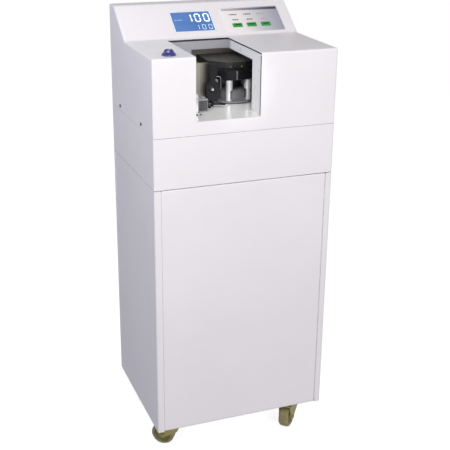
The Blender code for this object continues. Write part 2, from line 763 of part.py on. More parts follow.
def turret_pulley():
    bore, rim = SHAFT_RADIUS + GAP, TURRET_PULLEY_RADIUS
    flange = rim + 0.003
    top, bottom = PULLEY_HIGH + 0.002, PULLEY_LOW - 0.002
    profile = (
        (bore, top), (flange, top), (flange, PULLEY_HIGH), (rim, PULLEY_HIGH),
        (rim, PULLEY_LOW), (flange, PULLEY_LOW), (flange, bottom), (bore, bottom),
    )
    return turned("turret_pulley", profile, (*TURRET, 0), GREY_ALLOY, FINE, closed=True)


def motor_pulley():
    rim = MOTOR_PULLEY_RADIUS
    profile = (
        (0, FRAME_Z - 0.0005), (0.004, FRAME_Z - 0.0005), (0.004, PULLEY_HIGH), (rim, PULLEY_HIGH),
        (rim, PULLEY_LOW), (0, PULLEY_LOW),
    )
    return turned("motor_pulley", profile, (*MOTOR, 0), GREY_ALLOY, 24)


def belt_outline(extra):
    """The loop round both pulleys, standing off their rims by extra."""
    big, small = Vector(TURRET), Vector(MOTOR)
    big_radius, small_radius = TURRET_PULLEY_RADIUS + extra, MOTOR_PULLEY_RADIUS + extra
    line = small - big
    heading = math.atan2(line.y, line.x)
    lean = math.acos((big_radius - small_radius) / line.length)
    far = circle(big, big_radius, 20, heading + lean, 2 * math.pi - 2 * lean, ends=True)
    near = circle(small, small_radius, 14, heading - lean, 2 * lean, ends=True)
    return far + near


def drive_belt():
    outlines = [belt_outline(0.0024), belt_outline(0.0004)]
    return plate("drive_belt", outlines, PULLEY_LOW + 0.001, PULLEY_HIGH - 0.001, RUBBER)


def drive_motor():
    low = FRAME_Z + GAP
    profile = (
        (0, low + 0.090), (0.030, low + 0.090), (0.032, low + 0.088), (0.032, low + 0.004),
        (0.036, low + 0.004), (0.036, low), (0, low),
    )
    return turned("drive_motor", profile, (*MOTOR, 0), GREY_ALLOY, FINE)


def head_bracket():
    """Black casting over the turret: carries its upper bearing, on a column and the partition."""
    outline = [
        (-0.030, 0.006), (-0.014, -0.010), (0.004, -0.028), (0.020, -0.033), (0.048, -0.033),
        (0.072, -0.026), (0.088, -0.006), (0.094, 0.030), (0.094, 0.0855), (-0.030, 0.0855),
    ]
    arm = as_mesh(plate("head_bracket", [outline], 0.9546, 0.9700, BLACK))
    column = box("bracket_column", (-0.030, 0.0560, TABLE_Z + GAP), (-0.008, 0.0690, 0.9600))
    fuse(arm, column)
    return cut(arm, cylinder("bracket_bore", 0.0080, 0.9400, 0.9670, TURRET, sides=24))


# ---------------------------------------------------------------- bundle clamp
def clamp_backplate():
    """Upright plate behind the bundle, on a folded foot."""
    path = ((-0.020, TABLE_Z + GAP), (-0.040, TABLE_Z + GAP), (-0.040, 0.975))
    plate_ = folded_sheet("clamp_backplate", path, -0.112, -0.043, STEEL, "YZ", 0.002, 0.004)
    hole = cylinder("backplate_hole", 0.0046, -0.06, -0.03, CLAMP_AXIS, axis="Y")
    return cut(plate_, hole)


def clamp_jaw():
    """Moving jaw: a rubber-faced block, its side plate and the rod that pulls it back."""
    low = TABLE_Z + 2 * GAP
    box("clamp_block", (-0.0910, -0.102, low), (-0.0670, -0.067, 0.9030), DARK, 0.0008)
    box("jaw_plate", (-0.0975, -0.102, low), (-0.0913, -0.067, 0.9150), STEEL, 0.0005)
    cylinder("clamp_rod", 0.004, -0.067 + GAP, 0.000, CLAMP_AXIS, STEEL, 16, axis="Y")


def clamp_solenoid():
    body = box("clamp_solenoid", (-0.101, -0.0175, 0.8750), (-0.057, 0.0355, 0.9120), BLACK, 0.001)
    bore = cylinder("solenoid_bore", 0.0048, -0.03, 0.026, CLAMP_AXIS, axis="Y")
    return cut(body, bore)


def pusher_arm():
    """Black casting that swings on its own post and keeps the bundle on the spindles."""
    outline = [
        (-0.0490, 0.8890), (-0.0320, 0.8890), (-0.0245, 0.8960), (-0.0222, 0.9070), (-0.0240, 0.9200),
        (-0.0285, 0.9290), (-0.0345, 0.9360), (-0.0350, 0.9440), (-0.0290, 0.9560), (-0.0280, 0.9680),
        (-0.0310, 0.9750), (-0.0470, 0.9750), (-0.0490, 0.9710), (-0.0490, 0.9440), (-0.0480, 0.9340),
        (-0.0550, 0.9260), (-0.0575, 0.9150), (-0.0570, 0.9030), (-0.0530, 0.8930),
    ]
    arm = as_mesh(plate("pusher_arm", [outline], -0.0055, 0.0055, BLACK))
    arm.rotation_euler.x = math.pi / 2
    arm.location.y = -0.060
    post = cylinder("arm_post", 0.005, 0.8600, 0.9440, ARM_PIVOT)
    web = box("arm_web", (-0.046, -0.058, 0.904), (-0.034, -0.050, 0.940))
    return fuse(arm, post, web)


def guide_lever():
    """Flat lever low over the table that feels the bundle's edge."""
    x, y = LEVER_PIVOT
    tip = Vector((-0.0170, -0.0809))
    root = Vector((x, y))
    along = (tip - root).normalized()
    side = Vector((-along.y, along.x))
    heel, half_root, half_tip = root - along * 0.004, side * 0.0035, side * 0.0018
    outline = [heel - half_root, tip - half_tip, tip + along * 0.0015, tip + half_tip, heel + half_root]
    lever = as_mesh(plate("guide_lever", [[tuple(p) for p in outline]], 0.8800, 0.8830, BLACK))
    return fuse(lever, cylinder("lever_post", 0.003, 0.8600, 0.8870, LEVER_PIVOT, sides=16))


# ---------------------------------------------------------------- console
def inset(opening, margin):
    """The corners of a console opening, moved inward by a margin."""
    (x0, s0), (x1, s1) = opening
    return (x0 + margin, s0 + margin), (x1 - margin, s1 - margin)


def display_module(plane):
    low, high = inset(DISPLAY, 0.0005)
    return box("display_module", (*low, -0.013), (*high, -0.0008), LCD, 0.0004, plane)


def keypad_panel(plane):
    low, high = inset(KEYPAD, 0.0005)
    panel = box("keypad_panel", (*low, -0.0028), (*high, -0.0008), SILVER, 0, plane)
    for n, x in enumerate(BUTTON_PLACES, 1):
        low = (x - 0.0128, BUTTON_HEIGHT - 0.0063, -0.01)
        high = (x + 0.0128, BUTTON_HEIGHT + 0.0063, 0.01)
        cut(panel, box(f"button_cut_{n}", low, high, parent=plane))
    return panel


def buttons(plane):
    for n, x in enumerate(BUTTON_PLACES, 1):
        low = (x - 0.0123, BUTTON_HEIGHT - 0.0058, -0.0060)
        high = (x + 0.0123, BUTTON_HEIGHT + 0.0058, 0.0014)
        box(f"button_{n}", low, high, GREEN, 0.0010, plane)


def control_board(plane):
    low, high = inset(KEYPAD, 0.003)
    return box("control_board", (*low, -0.0125), (*high, -0.0105), BOARD, 0, plane)


def regulator_knob():
    """Flared knob on the deck that sets the suction."""
    shape = (
        (0, 0.0135), (0.0080, 0.0132), (0.0096, 0.0120), (0.0125, 0.0050), (0.0158, 0.0030),
        (0.0165, 0.0018), (0.0165, 0.0004), (0.0034, 0.0004), (0.0034, -0.0200), (0, -0.0200),
    )
    profile = [(radius, DECK_Z + height) for radius, height in shape]
    return turned("regulator_knob", profile, (*KNOB, 0), BLUE, FINE)


# ---------------------------------------------------------------- mains entry
def power_inlet():
    (x0, z0), (x1, z1) = INLET
    low, high = (x0 + GAP, BACK - 0.0250, z0 + GAP), (x1 - GAP, BACK - 0.0004, z1 - GAP)
    body = box("power_inlet", low, high, BLACK, 0.0005)
    hollow_low, hollow_high = (x0 + 0.003, BACK - 0.019, z0 + 0.004), (x1 - 0.003, BACK + 0.01, z1 - 0.004)
    pocket = box("inlet_pocket", hollow_low, hollow_high)
    return cut(body, pocket)


def power_switch():
    """Rocker with a shallow V face, between the edges of its opening."""
    (x0, z0), (x1, z1) = SWITCH
    middle = (z0 + z1) / 2
    reach = (z1 - z0) / 2 - 0.0015
    outline = [
        (BACK - 0.0120, middle - reach), (BACK - 0.0022, middle - reach), (BACK - 0.0040, middle),
        (BACK - 0.0006, middle + reach), (BACK - 0.0120, middle + reach),
    ]
    rocker = as_mesh(plate("power_switch", [outline], x0 + 0.0006, x1 - 0.0006, BLACK))
    rocker.rotation_euler = (math.pi / 2, 0, math.pi / 2)
    rocker.location = ((x0 + x1) / 2, 0, 0)
    return rocker


# ---------------------------------------------------------------- the whole machine
def main():
    side_panel("side_panel_left", -1)
    side_panel("side_panel_right", 1)
    base_pan()
    front_door()
    door_pins()
    rear_panel_lower()
    shelf()
    vacuum_pump()
    vacuum_hose()
    for corner, (x, y, degrees) in CASTORS.items():
        castor(corner, x, y, degrees)

    plane = console_plane()
    middle_cover()
    top_cover(plane)
    rear_panel_upper()
    bay_liner()
    mechanism_frame()
    counting_table()
    rear_partition()

    turret_shaft()
    turret_base()
    turret_head()
    for i in range(SPINDLE_COUNT):
        suction_spindle(i)
    sun_gear()
    bearing_housing()
    turret_pulley()
    motor_pulley()
    drive_belt()
    drive_motor()
    head_bracket()

    clamp_backplate()
    clamp_jaw()
    clamp_solenoid()
    pusher_arm()
    guide_lever()

    display_module(plane)
    keypad_panel(plane)
    buttons(plane)
    control_board(plane)
    regulator_knob()
    power_inlet()
    power_switch()


main()
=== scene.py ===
"""Looks of the floor-standing banknote counter: finishes, small hardware, display, studio and camera.

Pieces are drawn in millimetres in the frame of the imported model, and take their places from the CAD nodes'
boxes. Finishes, lamps and the camera are in metres.
"""

import json
from math import atan2, cos, pi, radians, sin, sqrt

import bmesh
import bpy
from mathutils import Matrix, Vector


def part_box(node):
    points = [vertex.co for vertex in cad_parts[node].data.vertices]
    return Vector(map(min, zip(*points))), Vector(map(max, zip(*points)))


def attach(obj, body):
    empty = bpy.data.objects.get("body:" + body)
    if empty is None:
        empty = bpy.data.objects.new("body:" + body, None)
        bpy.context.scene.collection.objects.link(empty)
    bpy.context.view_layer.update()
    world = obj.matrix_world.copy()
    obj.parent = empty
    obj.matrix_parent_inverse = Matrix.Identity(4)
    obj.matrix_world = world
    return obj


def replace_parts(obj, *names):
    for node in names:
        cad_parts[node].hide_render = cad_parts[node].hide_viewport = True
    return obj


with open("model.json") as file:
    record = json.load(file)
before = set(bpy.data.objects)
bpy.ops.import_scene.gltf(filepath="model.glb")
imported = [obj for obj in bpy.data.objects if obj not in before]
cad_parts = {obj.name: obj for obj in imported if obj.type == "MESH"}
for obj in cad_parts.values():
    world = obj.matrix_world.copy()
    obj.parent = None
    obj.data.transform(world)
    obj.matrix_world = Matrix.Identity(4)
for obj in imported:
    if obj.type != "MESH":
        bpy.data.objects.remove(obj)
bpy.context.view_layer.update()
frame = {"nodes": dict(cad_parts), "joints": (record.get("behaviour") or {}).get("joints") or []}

NODES = frame["nodes"]
MM = 0.001
FLUSH = 0.2  # how deep a piece is set into the face that it stands on, mm
CORNERS = ("front_left", "front_right", "rear_left", "rear_right")
FIRST_SPINDLE = 239  # degrees round the turret
SPINDLE_FACINGS = (338, 168, 66, 138, 300)  # degrees: where each spindle's flat looks at rest


# ------------ node helpers
def add_node(tree, kind, settings=None, **inputs):
    """A new node of a tree; each input is a value or an output to link, with _ for a space in its name."""
    node = tree.nodes.new("ShaderNode" + kind)
    for name, value in (settings or {}).items():
        setattr(node, name, value)
    for name, value in inputs.items():
        socket = node.inputs[name.replace("_", " ")]
        if isinstance(value, bpy.types.NodeSocket):
            tree.links.new(value, socket)
        else:
            socket.default_value = value
    return node


class Finish:
    """A Principled material with procedural detail, built step by step."""

    def __init__(self, name, colour, roughness, metallic=0):
        self.material = bpy.data.materials.new(name)
        self.material.use_nodes = True
        self.tree = self.material.node_tree
        self.shader = self.tree.nodes["Principled BSDF"]
        self.coordinates = add_node(self.tree, "TexCoord").outputs["Object"]
        self.set(Base_Color=(*colour, 1), Roughness=roughness, Metallic=metallic)

    def set(self, **sockets):
        for name, value in sockets.items():
            self.shader.inputs[name.replace("_", " ")].default_value = value
        return self

    def link(self, output, name):
        self.tree.links.new(output, self.shader.inputs[name])
        return self

    def place(self, stretch=(1, 1, 1)):
        return add_node(self.tree, "Mapping", Vector=self.coordinates, Scale=stretch).outputs["Vector"]

    def noise(self, scale, detail=3, stretch=(1, 1, 1)):
        texture = add_node(self.tree, "TexNoise", Vector=self.place(stretch), Scale=scale, Detail=detail)
        return texture.outputs["Fac"]

    def voronoi(self, scale, feature="F1"):
        texture = add_node(self.tree, "TexVoronoi", {"feature": feature}, Vector=self.place(), Scale=scale)
        return texture.outputs["Distance"]

    def along(self, axis, low, high):
        """0 at low and 1 at high, along one axis of the object's own coordinates."""
        split = add_node(self.tree, "SeparateXYZ", Vector=self.coordinates)
        return self.spread(split.outputs[axis], 0, 1, low, high)

    def upward(self, low=0.7, high=0.98):
        """0 on upright surfaces and 1 on level ones, where dust lies."""
        normal = add_node(self.tree, "NewGeometry").outputs["Normal"]
        return self.spread(add_node(self.tree, "SeparateXYZ", Vector=normal).outputs["Z"], 0, 1, low, high)

    def spread(self, source, low, high, start=0.3, end=0.7):
        """The source's values from start to end, laid over low to high."""
        ends = {"From_Min": start, "From_Max": end, "To_Min": low, "To_Max": high}
        return add_node(self.tree, "MapRange", Value=source, **ends).outputs["Result"]

    def math(self, operation, a, b):
        node = add_node(self.tree, "Math", {"operation": operation})
        for socket, value in zip(node.inputs, (a, b)):
            if isinstance(value, (int, float)):
                socket.default_value = value
            else:
                self.tree.links.new(value, socket)
        return node.outputs[0]

    def colours(self, source, *stops):
        """Base colour from a ramp: stops are (position, (r, g, b))."""
        ramp = add_node(self.tree, "ValToRGB", Fac=source)
        elements = ramp.color_ramp.elements
        while len(elements) < len(stops):
            elements.new(0.5)
        for element, (position, colour) in zip(elements, stops):
            element.position = position
            element.color = (*colour, 1)
        return self.link(ramp.outputs["Color"], "Base Color")

    def two_tone(self, source, colour, amount, span=(0.3, 0.7)):
        return self.colours(source, *zip(span, tones(colour, amount)))

    def roughness(self, source, low, high):
        return self.link(self.spread(source, low, high), "Roughness")

    def bump(self, height, distance, strength=0.5):
        """Relief on top of what is there; distance in millimetres."""
        below = self.shader.inputs["Normal"].links
        more = {"Normal": below[0].from_socket} if below else {}
        node = add_node(self.tree, "Bump", Height=height, Distance=distance * MM, Strength=strength, **more)
        return self.link(node.outputs["Normal"], "Normal")

    def surface(self, wear, low, high, *relief):
        """Uneven roughness and fine relief, each from its own noise."""
        self.roughness(self.noise(*wear), low, high)
        for texture, distance, strength in relief:
            self.bump(self.noise(*texture), distance, strength)
        return self

    def glow(self, strength):
        """Light of the base colour."""
        self.link(self.shader.inputs["Base Color"].links[0].from_socket, "Emission Color")
        return self.set(Emission_Strength=strength)


def tones(colour, amount):
    """A darker and a lighter tone of a colour."""
    return [tuple(min(1.0, c * (1 + sign * amount)) for c in colour) for sign in (-1, 1)]


def worn(name, colour, rough, tone, clouds, wear, change, relief=(), metallic=0, span=(0.3, 0.7)):
    """A colour in clouds of two tones, with an uneven surface."""
    made = Finish(name, colour, rough, metallic)
    made.two_tone(made.noise(*clouds), colour, tone, span)
    return made.surface(wear, rough - change[0], rough + change[1], *relief)


# ------------ finishes
def powder_coat(name, colour, gloss=0.36):
    """Fine-textured paint: orange peel, faint clouding, and specks that stand a little proud."""
    relief = ((750, 2), 0.04, 0.5), ((160, 2), 0.05, 0.35)
    made = worn(name, colour, gloss, 0.018, (4, 4), (60, 3), (0.04, 0.06), relief, 0, (0.35, 0.65))
    return made.set(Coat_Weight=0.12, Coat_Roughness=0.25).material


def satin_paint(name, colour, gloss=0.5):
    return worn(name, colour, gloss, 0.12, (25, 5), (90, 4), (0.1, 0.12), [((900, 2), 0.04, 0.5)]).material


def dusty_casting(name, colour, dust, gloss=0.5):
    """Painted casting with a film of paper dust on its level faces."""
    low, high = tones(colour, 0.25)
    made = Finish(name, colour, gloss)
    cover = made.math("MULTIPLY", made.upward(), made.spread(made.noise(30, 5), 0.75, 1))
    made.colours(made.math("ADD", cover, made.spread(made.noise(45, 4), 0, 0.15)),
                 (0, low), (0.15, high), (0.7, dust), (1, tones(dust, 0.15)[1]))
    made.roughness(made.noise(70, 4), gloss - 0.08, gloss + 0.18)
    return made.bump(made.voronoi(650), 0.08, 0.4).material


def liner_paint_with_painted_shade(name, colour, rear_shade_colour, start, end):
    """Smooth white paint with painted shade: it turns grey in the depth of the bay, towards its rear wall."""
    made = Finish(name, colour, 0.30)
    # painted shade: the colour darkens to grey from start to end, towards the bay's rear
    depth = made.math("ADD", made.along("Y", start, end), made.spread(made.noise(18, 4), -0.04, 0.04))
    made.colours(depth, (0, colour), (0.35, tones(colour, 0.03)[0]), (1, rear_shade_colour))
    made.surface((60, 3), 0.26, 0.38, ((500, 2), 0.03, 0.4))
    return made.set(Coat_Weight=0.2, Coat_Roughness=0.15).material


def drum_paint(name, foot_colour, colour):
    """Satin black drum, grey at its foot and black higher up."""
    low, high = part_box("turret_base")
    made = Finish(name, colour, 0.36)
    level = made.math("ADD", made.along("Z", low.z, high.z), made.spread(made.noise(40, 5), -0.05, 0.05))
    made.colours(level, (0, foot_colour), (0.42, tones(foot_colour, 0.15)[0]), (0.6, colour),
                 (1, tones(colour, 0.2)[0]))
    return made.surface((90, 4), 0.28, 0.46, ((900, 2), 0.04, 0.5)).material


def casting(name, colour, gloss=0.42):
    """Painted casting: a pebbled skin with a few polished spots."""
    made = worn(name, colour, gloss, 0.25, (45, 5), (70, 4), (0.12, 0.14), span=(0.3, 0.75))
    made.bump(made.voronoi(650), 0.08).bump(made.noise(240, 3), 0.1, 0.4)
    return made.set(Specular_IOR_Level=0.3).material


def lined_metal(made, lines, rough):
    """Roughness and relief of brushed metal, both from the same lines."""
    return made.roughness(lines, rough - 0.07, rough + 0.09).bump(lines, 0.03).material


def brushed(name, colour, rough, direction=(1, 1, 60), scale=14):
    """Brushed metal: fine lines across the direction of stretch."""
    made = Finish(name, colour, rough, 1)
    lines = made.noise(scale, 6, direction)
    return lined_metal(made.two_tone(lines, colour, 0.1), lines, rough)


def steel_with_painted_sheen(name, colour, rough, node):
    """Brushed sheet with a painted sheen: bright down its middle and darker at both edges, standing in for
    the light it reflects.
    """
    low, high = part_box(node)
    made = Finish(name, colour, rough, 1)
    lines = made.noise(14, 6, (40, 40, 1))
    # painted sheen: darker edges and a lighter middle across the sheet
    dark, middle = tones(colour, 0.55)[0], tones(colour, 0.1)[1]
    across = made.math("ADD", made.along("X", low.x, high.x), made.spread(lines, -0.06, 0.06))
    made.colours(across, (0.05, dark), (0.42, colour), (0.6, middle), (0.95, dark))
    return lined_metal(made, lines, rough)


def turned_steel(name, colour=(0.78, 0.78, 0.80), rough=0.16, metallic=1, wear=1):
    """Ground bar: rings round its own axis, and a trace of handling."""
    made = Finish(name, colour, rough, metallic)
    rings = made.noise(90, 4, (1, 1, 30))
    made.two_tone(rings, colour, 0.07 * wear).surface((120, 4), rough - 0.05 * wear, rough + 0.1 * wear)
    return made.bump(rings, 0.02 * wear * wear, 0.4).material


def glossy_plate(name):
    """Pale plate under a hard clear coat that mirrors the spindles, with wiping marks."""
    made = worn(name, (0.95, 0.95, 0.94), 0.2, 0.02, (9, 4), (14, 5, (1, 6, 1)), (0.06, 0.08),
                [((60, 4, (12, 1, 1)), 0.01, 0.4)])
    return made.set(Coat_Weight=0.4, Coat_Roughness=0.03, Coat_IOR=1.5).material


def zinc(name):
    """Yellow passivated zinc: olive-gold with iridescent clouding."""
    made = Finish(name, (0.3, 0.28, 0.1), 0.34, 0.85)
    made.colours(made.noise(38, 5), (0.28, (0.26, 0.245, 0.085)), (0.48, (0.42, 0.39, 0.14)),
                 (0.62, (0.54, 0.49, 0.19)), (0.78, (0.45, 0.38, 0.16)))
    return made.surface((110, 4), 0.24, 0.46, ((420, 3), 0.04, 0.5)).material


def tread(name, colour, rough=0.55):
    """Cast tread with a little dust in it."""
    return worn(name, colour, rough, 0.22, (55, 5), (80, 4), (0.12, 0.15), [((500, 3), 0.06, 0.5)]).material


def moulded(name, colour, rough=0.35, grain=700, coat=0):
    """Moulded plastic with a fine spark-eroded grain."""
    made = worn(name, colour, rough, 0.06, (30, 3), (150, 3), (0.06, 0.08), [((grain, 2), 0.03, 0.5)])
    return made.set(Coat_Weight=coat, Coat_Roughness=0.08).material


def overlay_film(name, low, high):
    """Silver membrane film: pale at the left, blue-grey at the right, with a fine metallic grain."""
    made = Finish(name, (0.6, 0.6, 0.66), 0.42, 0.1)
    drift = made.along("X", low, high)
    grain = made.math("MULTIPLY", made.math("SUBTRACT", made.noise(1500, 2), 0.5), 0.1)
    made.colours(made.math("ADD", drift, grain), (0, (0.95, 0.91, 0.92)), (0.35, (0.86, 0.83, 0.84)),
                 (0.7, (0.55, 0.55, 0.6)), (1, (0.36, 0.37, 0.46)))
    return made.surface((300, 3), 0.34, 0.48, ((900, 2), 0.02, 0.4)).material


def header_print(name, low, high):
    """Band that deepens from the overlay's silver to near black."""
    made = Finish(name, (0.1, 0.1, 0.14), 0.35)
    made.colours(made.along("X", low, high), (0, (0.52, 0.51, 0.54)), (0.35, (0.3, 0.3, 0.34)),
                 (0.7, (0.13, 0.13, 0.18)), (1, (0.035, 0.035, 0.07)))
    return made.surface((300, 3), 0.28, 0.42).material


def display_glass(name):
    """Backlit blue display: uneven glow and a fine cell grid under clear glass."""
    made = Finish(name, (0.03, 0.13, 0.42), 0.14)
    made.colours(made.noise(14, 2), (0.3, (0.062, 0.15, 0.39)), (0.7, (0.085, 0.2, 0.47)))
    made.bump(made.voronoi(1400), 0.01, 0.3)
    return made.glow(0.3).set(Coat_Weight=0.4, Coat_Roughness=0.05).material


def lit_segment(name, colour=(0.85, 0.95, 1.0), strength=0.9):
    made = Finish(name, colour, 0.3)
    return made.two_tone(made.noise(200, 2), colour, 0.04).glow(strength).material


def circuit_board(name):
    """Green solder mask with copper lines showing through."""
    made = Finish(name, (0.01, 0.12, 0.05), 0.35)
    lines = made.voronoi(160, "DISTANCE_TO_EDGE")
    made.colours(lines, (0, (0.05, 0.28, 0.11)), (0.06, (0.012, 0.1, 0.04)))
    return made.surface((200, 3), 0.25, 0.42).bump(lines, 0.05, 0.4).material


def clear_plastic(name, colour):
    made = Finish(name, colour, 0.12).set(Transmission_Weight=0.85, IOR=1.49)
    return made.surface((120, 3), 0.06, 0.18, ((260, 2), 0.02, 0.4)).material


LINER_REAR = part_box("bay_liner")[1].y
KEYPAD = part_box("keypad_panel")
WHITE = powder_coat("white_powder_coat", (0.85, 0.828, 0.858))
# the liner's rear wall is painted grey: painted shade in the depth of the bay
LINER_WHITE_SHADED = liner_paint_with_painted_shade("liner_white_painted_rear_shade", (0.92, 0.92, 0.94), (0.38, 0.38, 0.42),
                          LINER_REAR - 0.03, LINER_REAR - 0.004)
DARK = satin_paint("dark_structure", (0.07, 0.066, 0.064))
WALL = satin_paint("partition_brown", (0.4, 0.37, 0.33), 0.55)
DRUM = drum_paint("drum_grey", (0.19, 0.19, 0.2), (0.035, 0.035, 0.038))
BLOCK = satin_paint("block_grey", (0.36, 0.36, 0.368), 0.34)
BLACK = casting("black_casting", (0.009, 0.009, 0.011), 0.5)
BRACKET = dusty_casting("bracket_casting", (0.022, 0.022, 0.022), (0.1, 0.096, 0.09))
BLACK_PLASTIC = moulded("black_plastic", (0.02, 0.02, 0.022), 0.45, 500)
GREY_PLASTIC = moulded("grey_plastic", (0.28, 0.29, 0.31), 0.45, 500)
STEEL = turned_steel("ground_steel")
SPINDLE = turned_steel("spindle_steel", (0.92, 0.93, 0.95), 0.33, 0.5, 0.15)
PIN_STEEL = turned_steel("pin_steel", (0.62, 0.62, 0.64), 0.28)
DULL_STEEL = brushed("dull_steel", (0.34, 0.34, 0.37), 0.4, (1, 1, 30), 60)
BACKPLATE_PAINTED_SHEEN = steel_with_painted_sheen("brushed_backplate_painted_sheen", (0.4, 0.385, 0.335), 0.45, "clamp_backplate")
JAW = brushed("brushed_jaw", (0.86, 0.86, 0.88), 0.3, (1, 40, 1))
TABLE = glossy_plate("glossy_table")
ZINC = zinc("yellow_zinc")
BRIGHT_ZINC = brushed("bright_zinc", (0.66, 0.67, 0.7), 0.3, (1, 1, 30), 60)
DARK_SCREW = brushed("blackened_screw", (0.1, 0.1, 0.11), 0.38, (1, 30, 1), 80)
BRASS = brushed("brass", (0.62, 0.44, 0.16), 0.28, (1, 1, 30), 60)
WHEEL = tread("wheel_tread", (0.27, 0.24, 0.1), 0.45)
HUB = moulded("wheel_hub", (0.17, 0.15, 0.07), 0.45, 420)
PAD = tread("pad_rubber", (0.085, 0.085, 0.088))
RUBBER = tread("black_rubber", (0.022, 0.022, 0.024), 0.68)
LIGHT_SEAL = tread("light_foam_seal", (0.9, 0.89, 0.91), 0.8)
BLUE_WIRE = moulded("blue_wire", (0.02, 0.06, 0.4), 0.4)
BROWN_WIRE = moulded("brown_wire", (0.16, 0.05, 0.02), 0.4)
GREEN_WIRE = moulded("green_wire", (0.05, 0.3, 0.05), 0.4)
BELT = tread("belt_rubber", (0.028, 0.026, 0.026), 0.6)
BLUE = moulded("navy_knob", (0.03, 0.022, 0.19), 0.22, 500, 0.5)
GREEN = moulded("green_key", (0.02, 0.33, 0.045), 0.34, 600, 0.15)
DEEP_GREEN = moulded("key_print", (0.004, 0.06, 0.014), 0.4)
PUMP = casting("pump_grey", (0.17, 0.19, 0.21), 0.45)
MOTOR = casting("motor_black", (0.03, 0.03, 0.034), 0.4)
ALLOY = brushed("machined_alloy", (0.62, 0.63, 0.65), 0.3, (1, 1, 40))
PRINT = moulded("label_print", (0.16, 0.075, 0.085), 0.5)
PINK_PRINT = moulded("pink_print", (0.62, 0.3, 0.52), 0.5)
OLIVE_PRINT = moulded("olive_print", (0.42, 0.5, 0.2), 0.5)
RED_LENS = moulded("red_lens", (0.5, 0.02, 0.02), 0.2, 500, 0.5)
WHITE_FRAME = moulded("white_frame", (0.86, 0.89, 0.95), 0.3)
OVERLAY = overlay_film("silver_overlay", KEYPAD[0].x, KEYPAD[1].x)
BAND_ENDS = 44, 192.5  # left and right end of the overlay's dark band, mm
BAND = header_print("overlay_band_print", BAND_ENDS[0] * MM, BAND_ENDS[1] * MM)
BOARD = circuit_board("control_board_green")
LCD = display_glass("blue_display")
DIGITS = lit_segment("lit_digits")
FAINT_DIGITS = lit_segment("lit_small_digits", (0.52, 0.74, 0.92), 0.4)
FAINT_MARK = lit_segment("lit_mode_mark", (0.22, 0.42, 0.68), 0.25)
JAR = clear_plastic("filter_jar_clear", (0.75, 0.85, 0.9))
FELT = tread("filter_felt", (0.62, 0.58, 0.5), 0.85)


def dress_nodes():
    """A finish for every CAD node, by the start of its name."""
    finishes = {
        WHITE: ("top_cover", "middle_cover", "side_panel", "rear_panel", "front_door", "base_pan"),
        LINER_WHITE_SHADED: ("bay_liner",), DARK: ("shelf", "mechanism_frame"), WALL: ("rear_partition",),
        TABLE: ("counting_table",), DRUM: ("turret_base",), STEEL: ("turret_shaft", "clamp_rod"),
        BLACK: ("turret_head", "pusher_arm", "guide_lever"), SPINDLE: ("suction_spindle",),
        PIN_STEEL: ("sun_gear", "door_pin"),
        ALLOY: ("bearing_housing", "turret_pulley", "motor_pulley"), BELT: ("drive_belt",),
        MOTOR: ("drive_motor",), BRACKET: ("head_bracket",), BACKPLATE_PAINTED_SHEEN: ("clamp_backplate",),
        BLOCK: ("clamp_block",), JAW: ("jaw_plate",), LCD: ("display_module",), OVERLAY: ("keypad_panel",),
        BLACK_PLASTIC: ("clamp_solenoid", "power_inlet", "power_switch"), BOARD: ("control_board",),
        GREEN: ("button",), BLUE: ("regulator_knob",), ZINC: ("castor_plate", "castor_fork"),
        WHEEL: ("castor_wheel",), PUMP: ("vacuum_pump",), RUBBER: ("vacuum_hose",),
    }
    for name, node in NODES.items():
        finish = next(finish for finish, starts in finishes.items() if name.startswith(starts))
        node.data.materials.clear()
        node.data.materials.append(finish)
        soften(node.data, 32)


def soften(mesh, angle):
    """Smooth shading, broken at edges sharper than the angle."""
    mesh.polygons.foreach_set("use_smooth", [True] * len(mesh.polygons))
    mesh.set_sharp_from_angle(angle=radians(angle))


# ------------ piece helpers
def box(node):
    """The lowest and highest corner of a CAD node at rest, in millimetres."""
    return [Vector(corner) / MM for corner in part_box(node)]


def joint_line(name):
    """Axis of a joint and its place in millimetres."""
    joint = next(j for j in frame["joints"] if j["name"] == name)
    return Vector(joint["axis"]).normalized(), Vector(joint["pos_m"]) / MM


def turns(count, start=0, step=None):
    """Count angles in radians from start and by step, in degrees; all the way round if no step is given."""
    return [radians(start + i * (step or 360 / count)) for i in range(count)]


def frame_at(at, normal, along=(1, 0, 0)):
    """A matrix whose Z is the normal, whose X leans towards along, and whose origin is at."""
    z = Vector(normal).normalized()
    x = Vector(along) - Vector(along).dot(z) * z
    if x.length < 1e-6:
        x = Vector((0, 1, 0)) - Vector((0, 1, 0)).dot(z) * z
    x.normalize()
    return Matrix.Translation(Vector(at)) @ Matrix((x, z.cross(x), z)).transposed().to_4x4()


def facing_front(y):
    """A matrix whose X and Y are the machine's X and Z, and whose Z looks forward from a depth y."""
    return Matrix(((1, 0, 0, 0), (0, 0, -1, y), (0, 1, 0, 0), (0, 0, 0, 1)))


def polar(reach, angle):
    return reach * cos(angle), reach * sin(angle)


def rounded_rectangle(width, height, radius, centre=(0, 0), steps=4):
    points = []
    for sx, sy, start in ((1, 1, 0), (-1, 1, 90), (-1, -1, 180), (1, -1, 270)):
        for angle in turns(steps + 1, start, 90 / steps):
            points.append((centre[0] + sx * (width / 2 - radius) + radius * cos(angle),
                           centre[1] + sy * (height / 2 - radius) + radius * sin(angle)))
    return points


def smooth_route(route, steps=6):
    """Points along a smooth curve through every point of the route."""
    route = [Vector(p) for p in route]
    padded = [2 * route[0] - route[1], *route, 2 * route[-1] - route[-2]]
    points = []
    for a, b, c, d in zip(padded, padded[1:], padded[2:], padded[3:]):
        for t in (i / steps for i in range(steps)):
            points.append(0.5 * (2 * b + (c - a) * t + (2 * a - 5 * b + 4 * c - d) * t**2
                                 + (3 * b - a - 3 * c + d) * t**3))
    return points + [route[-1]]


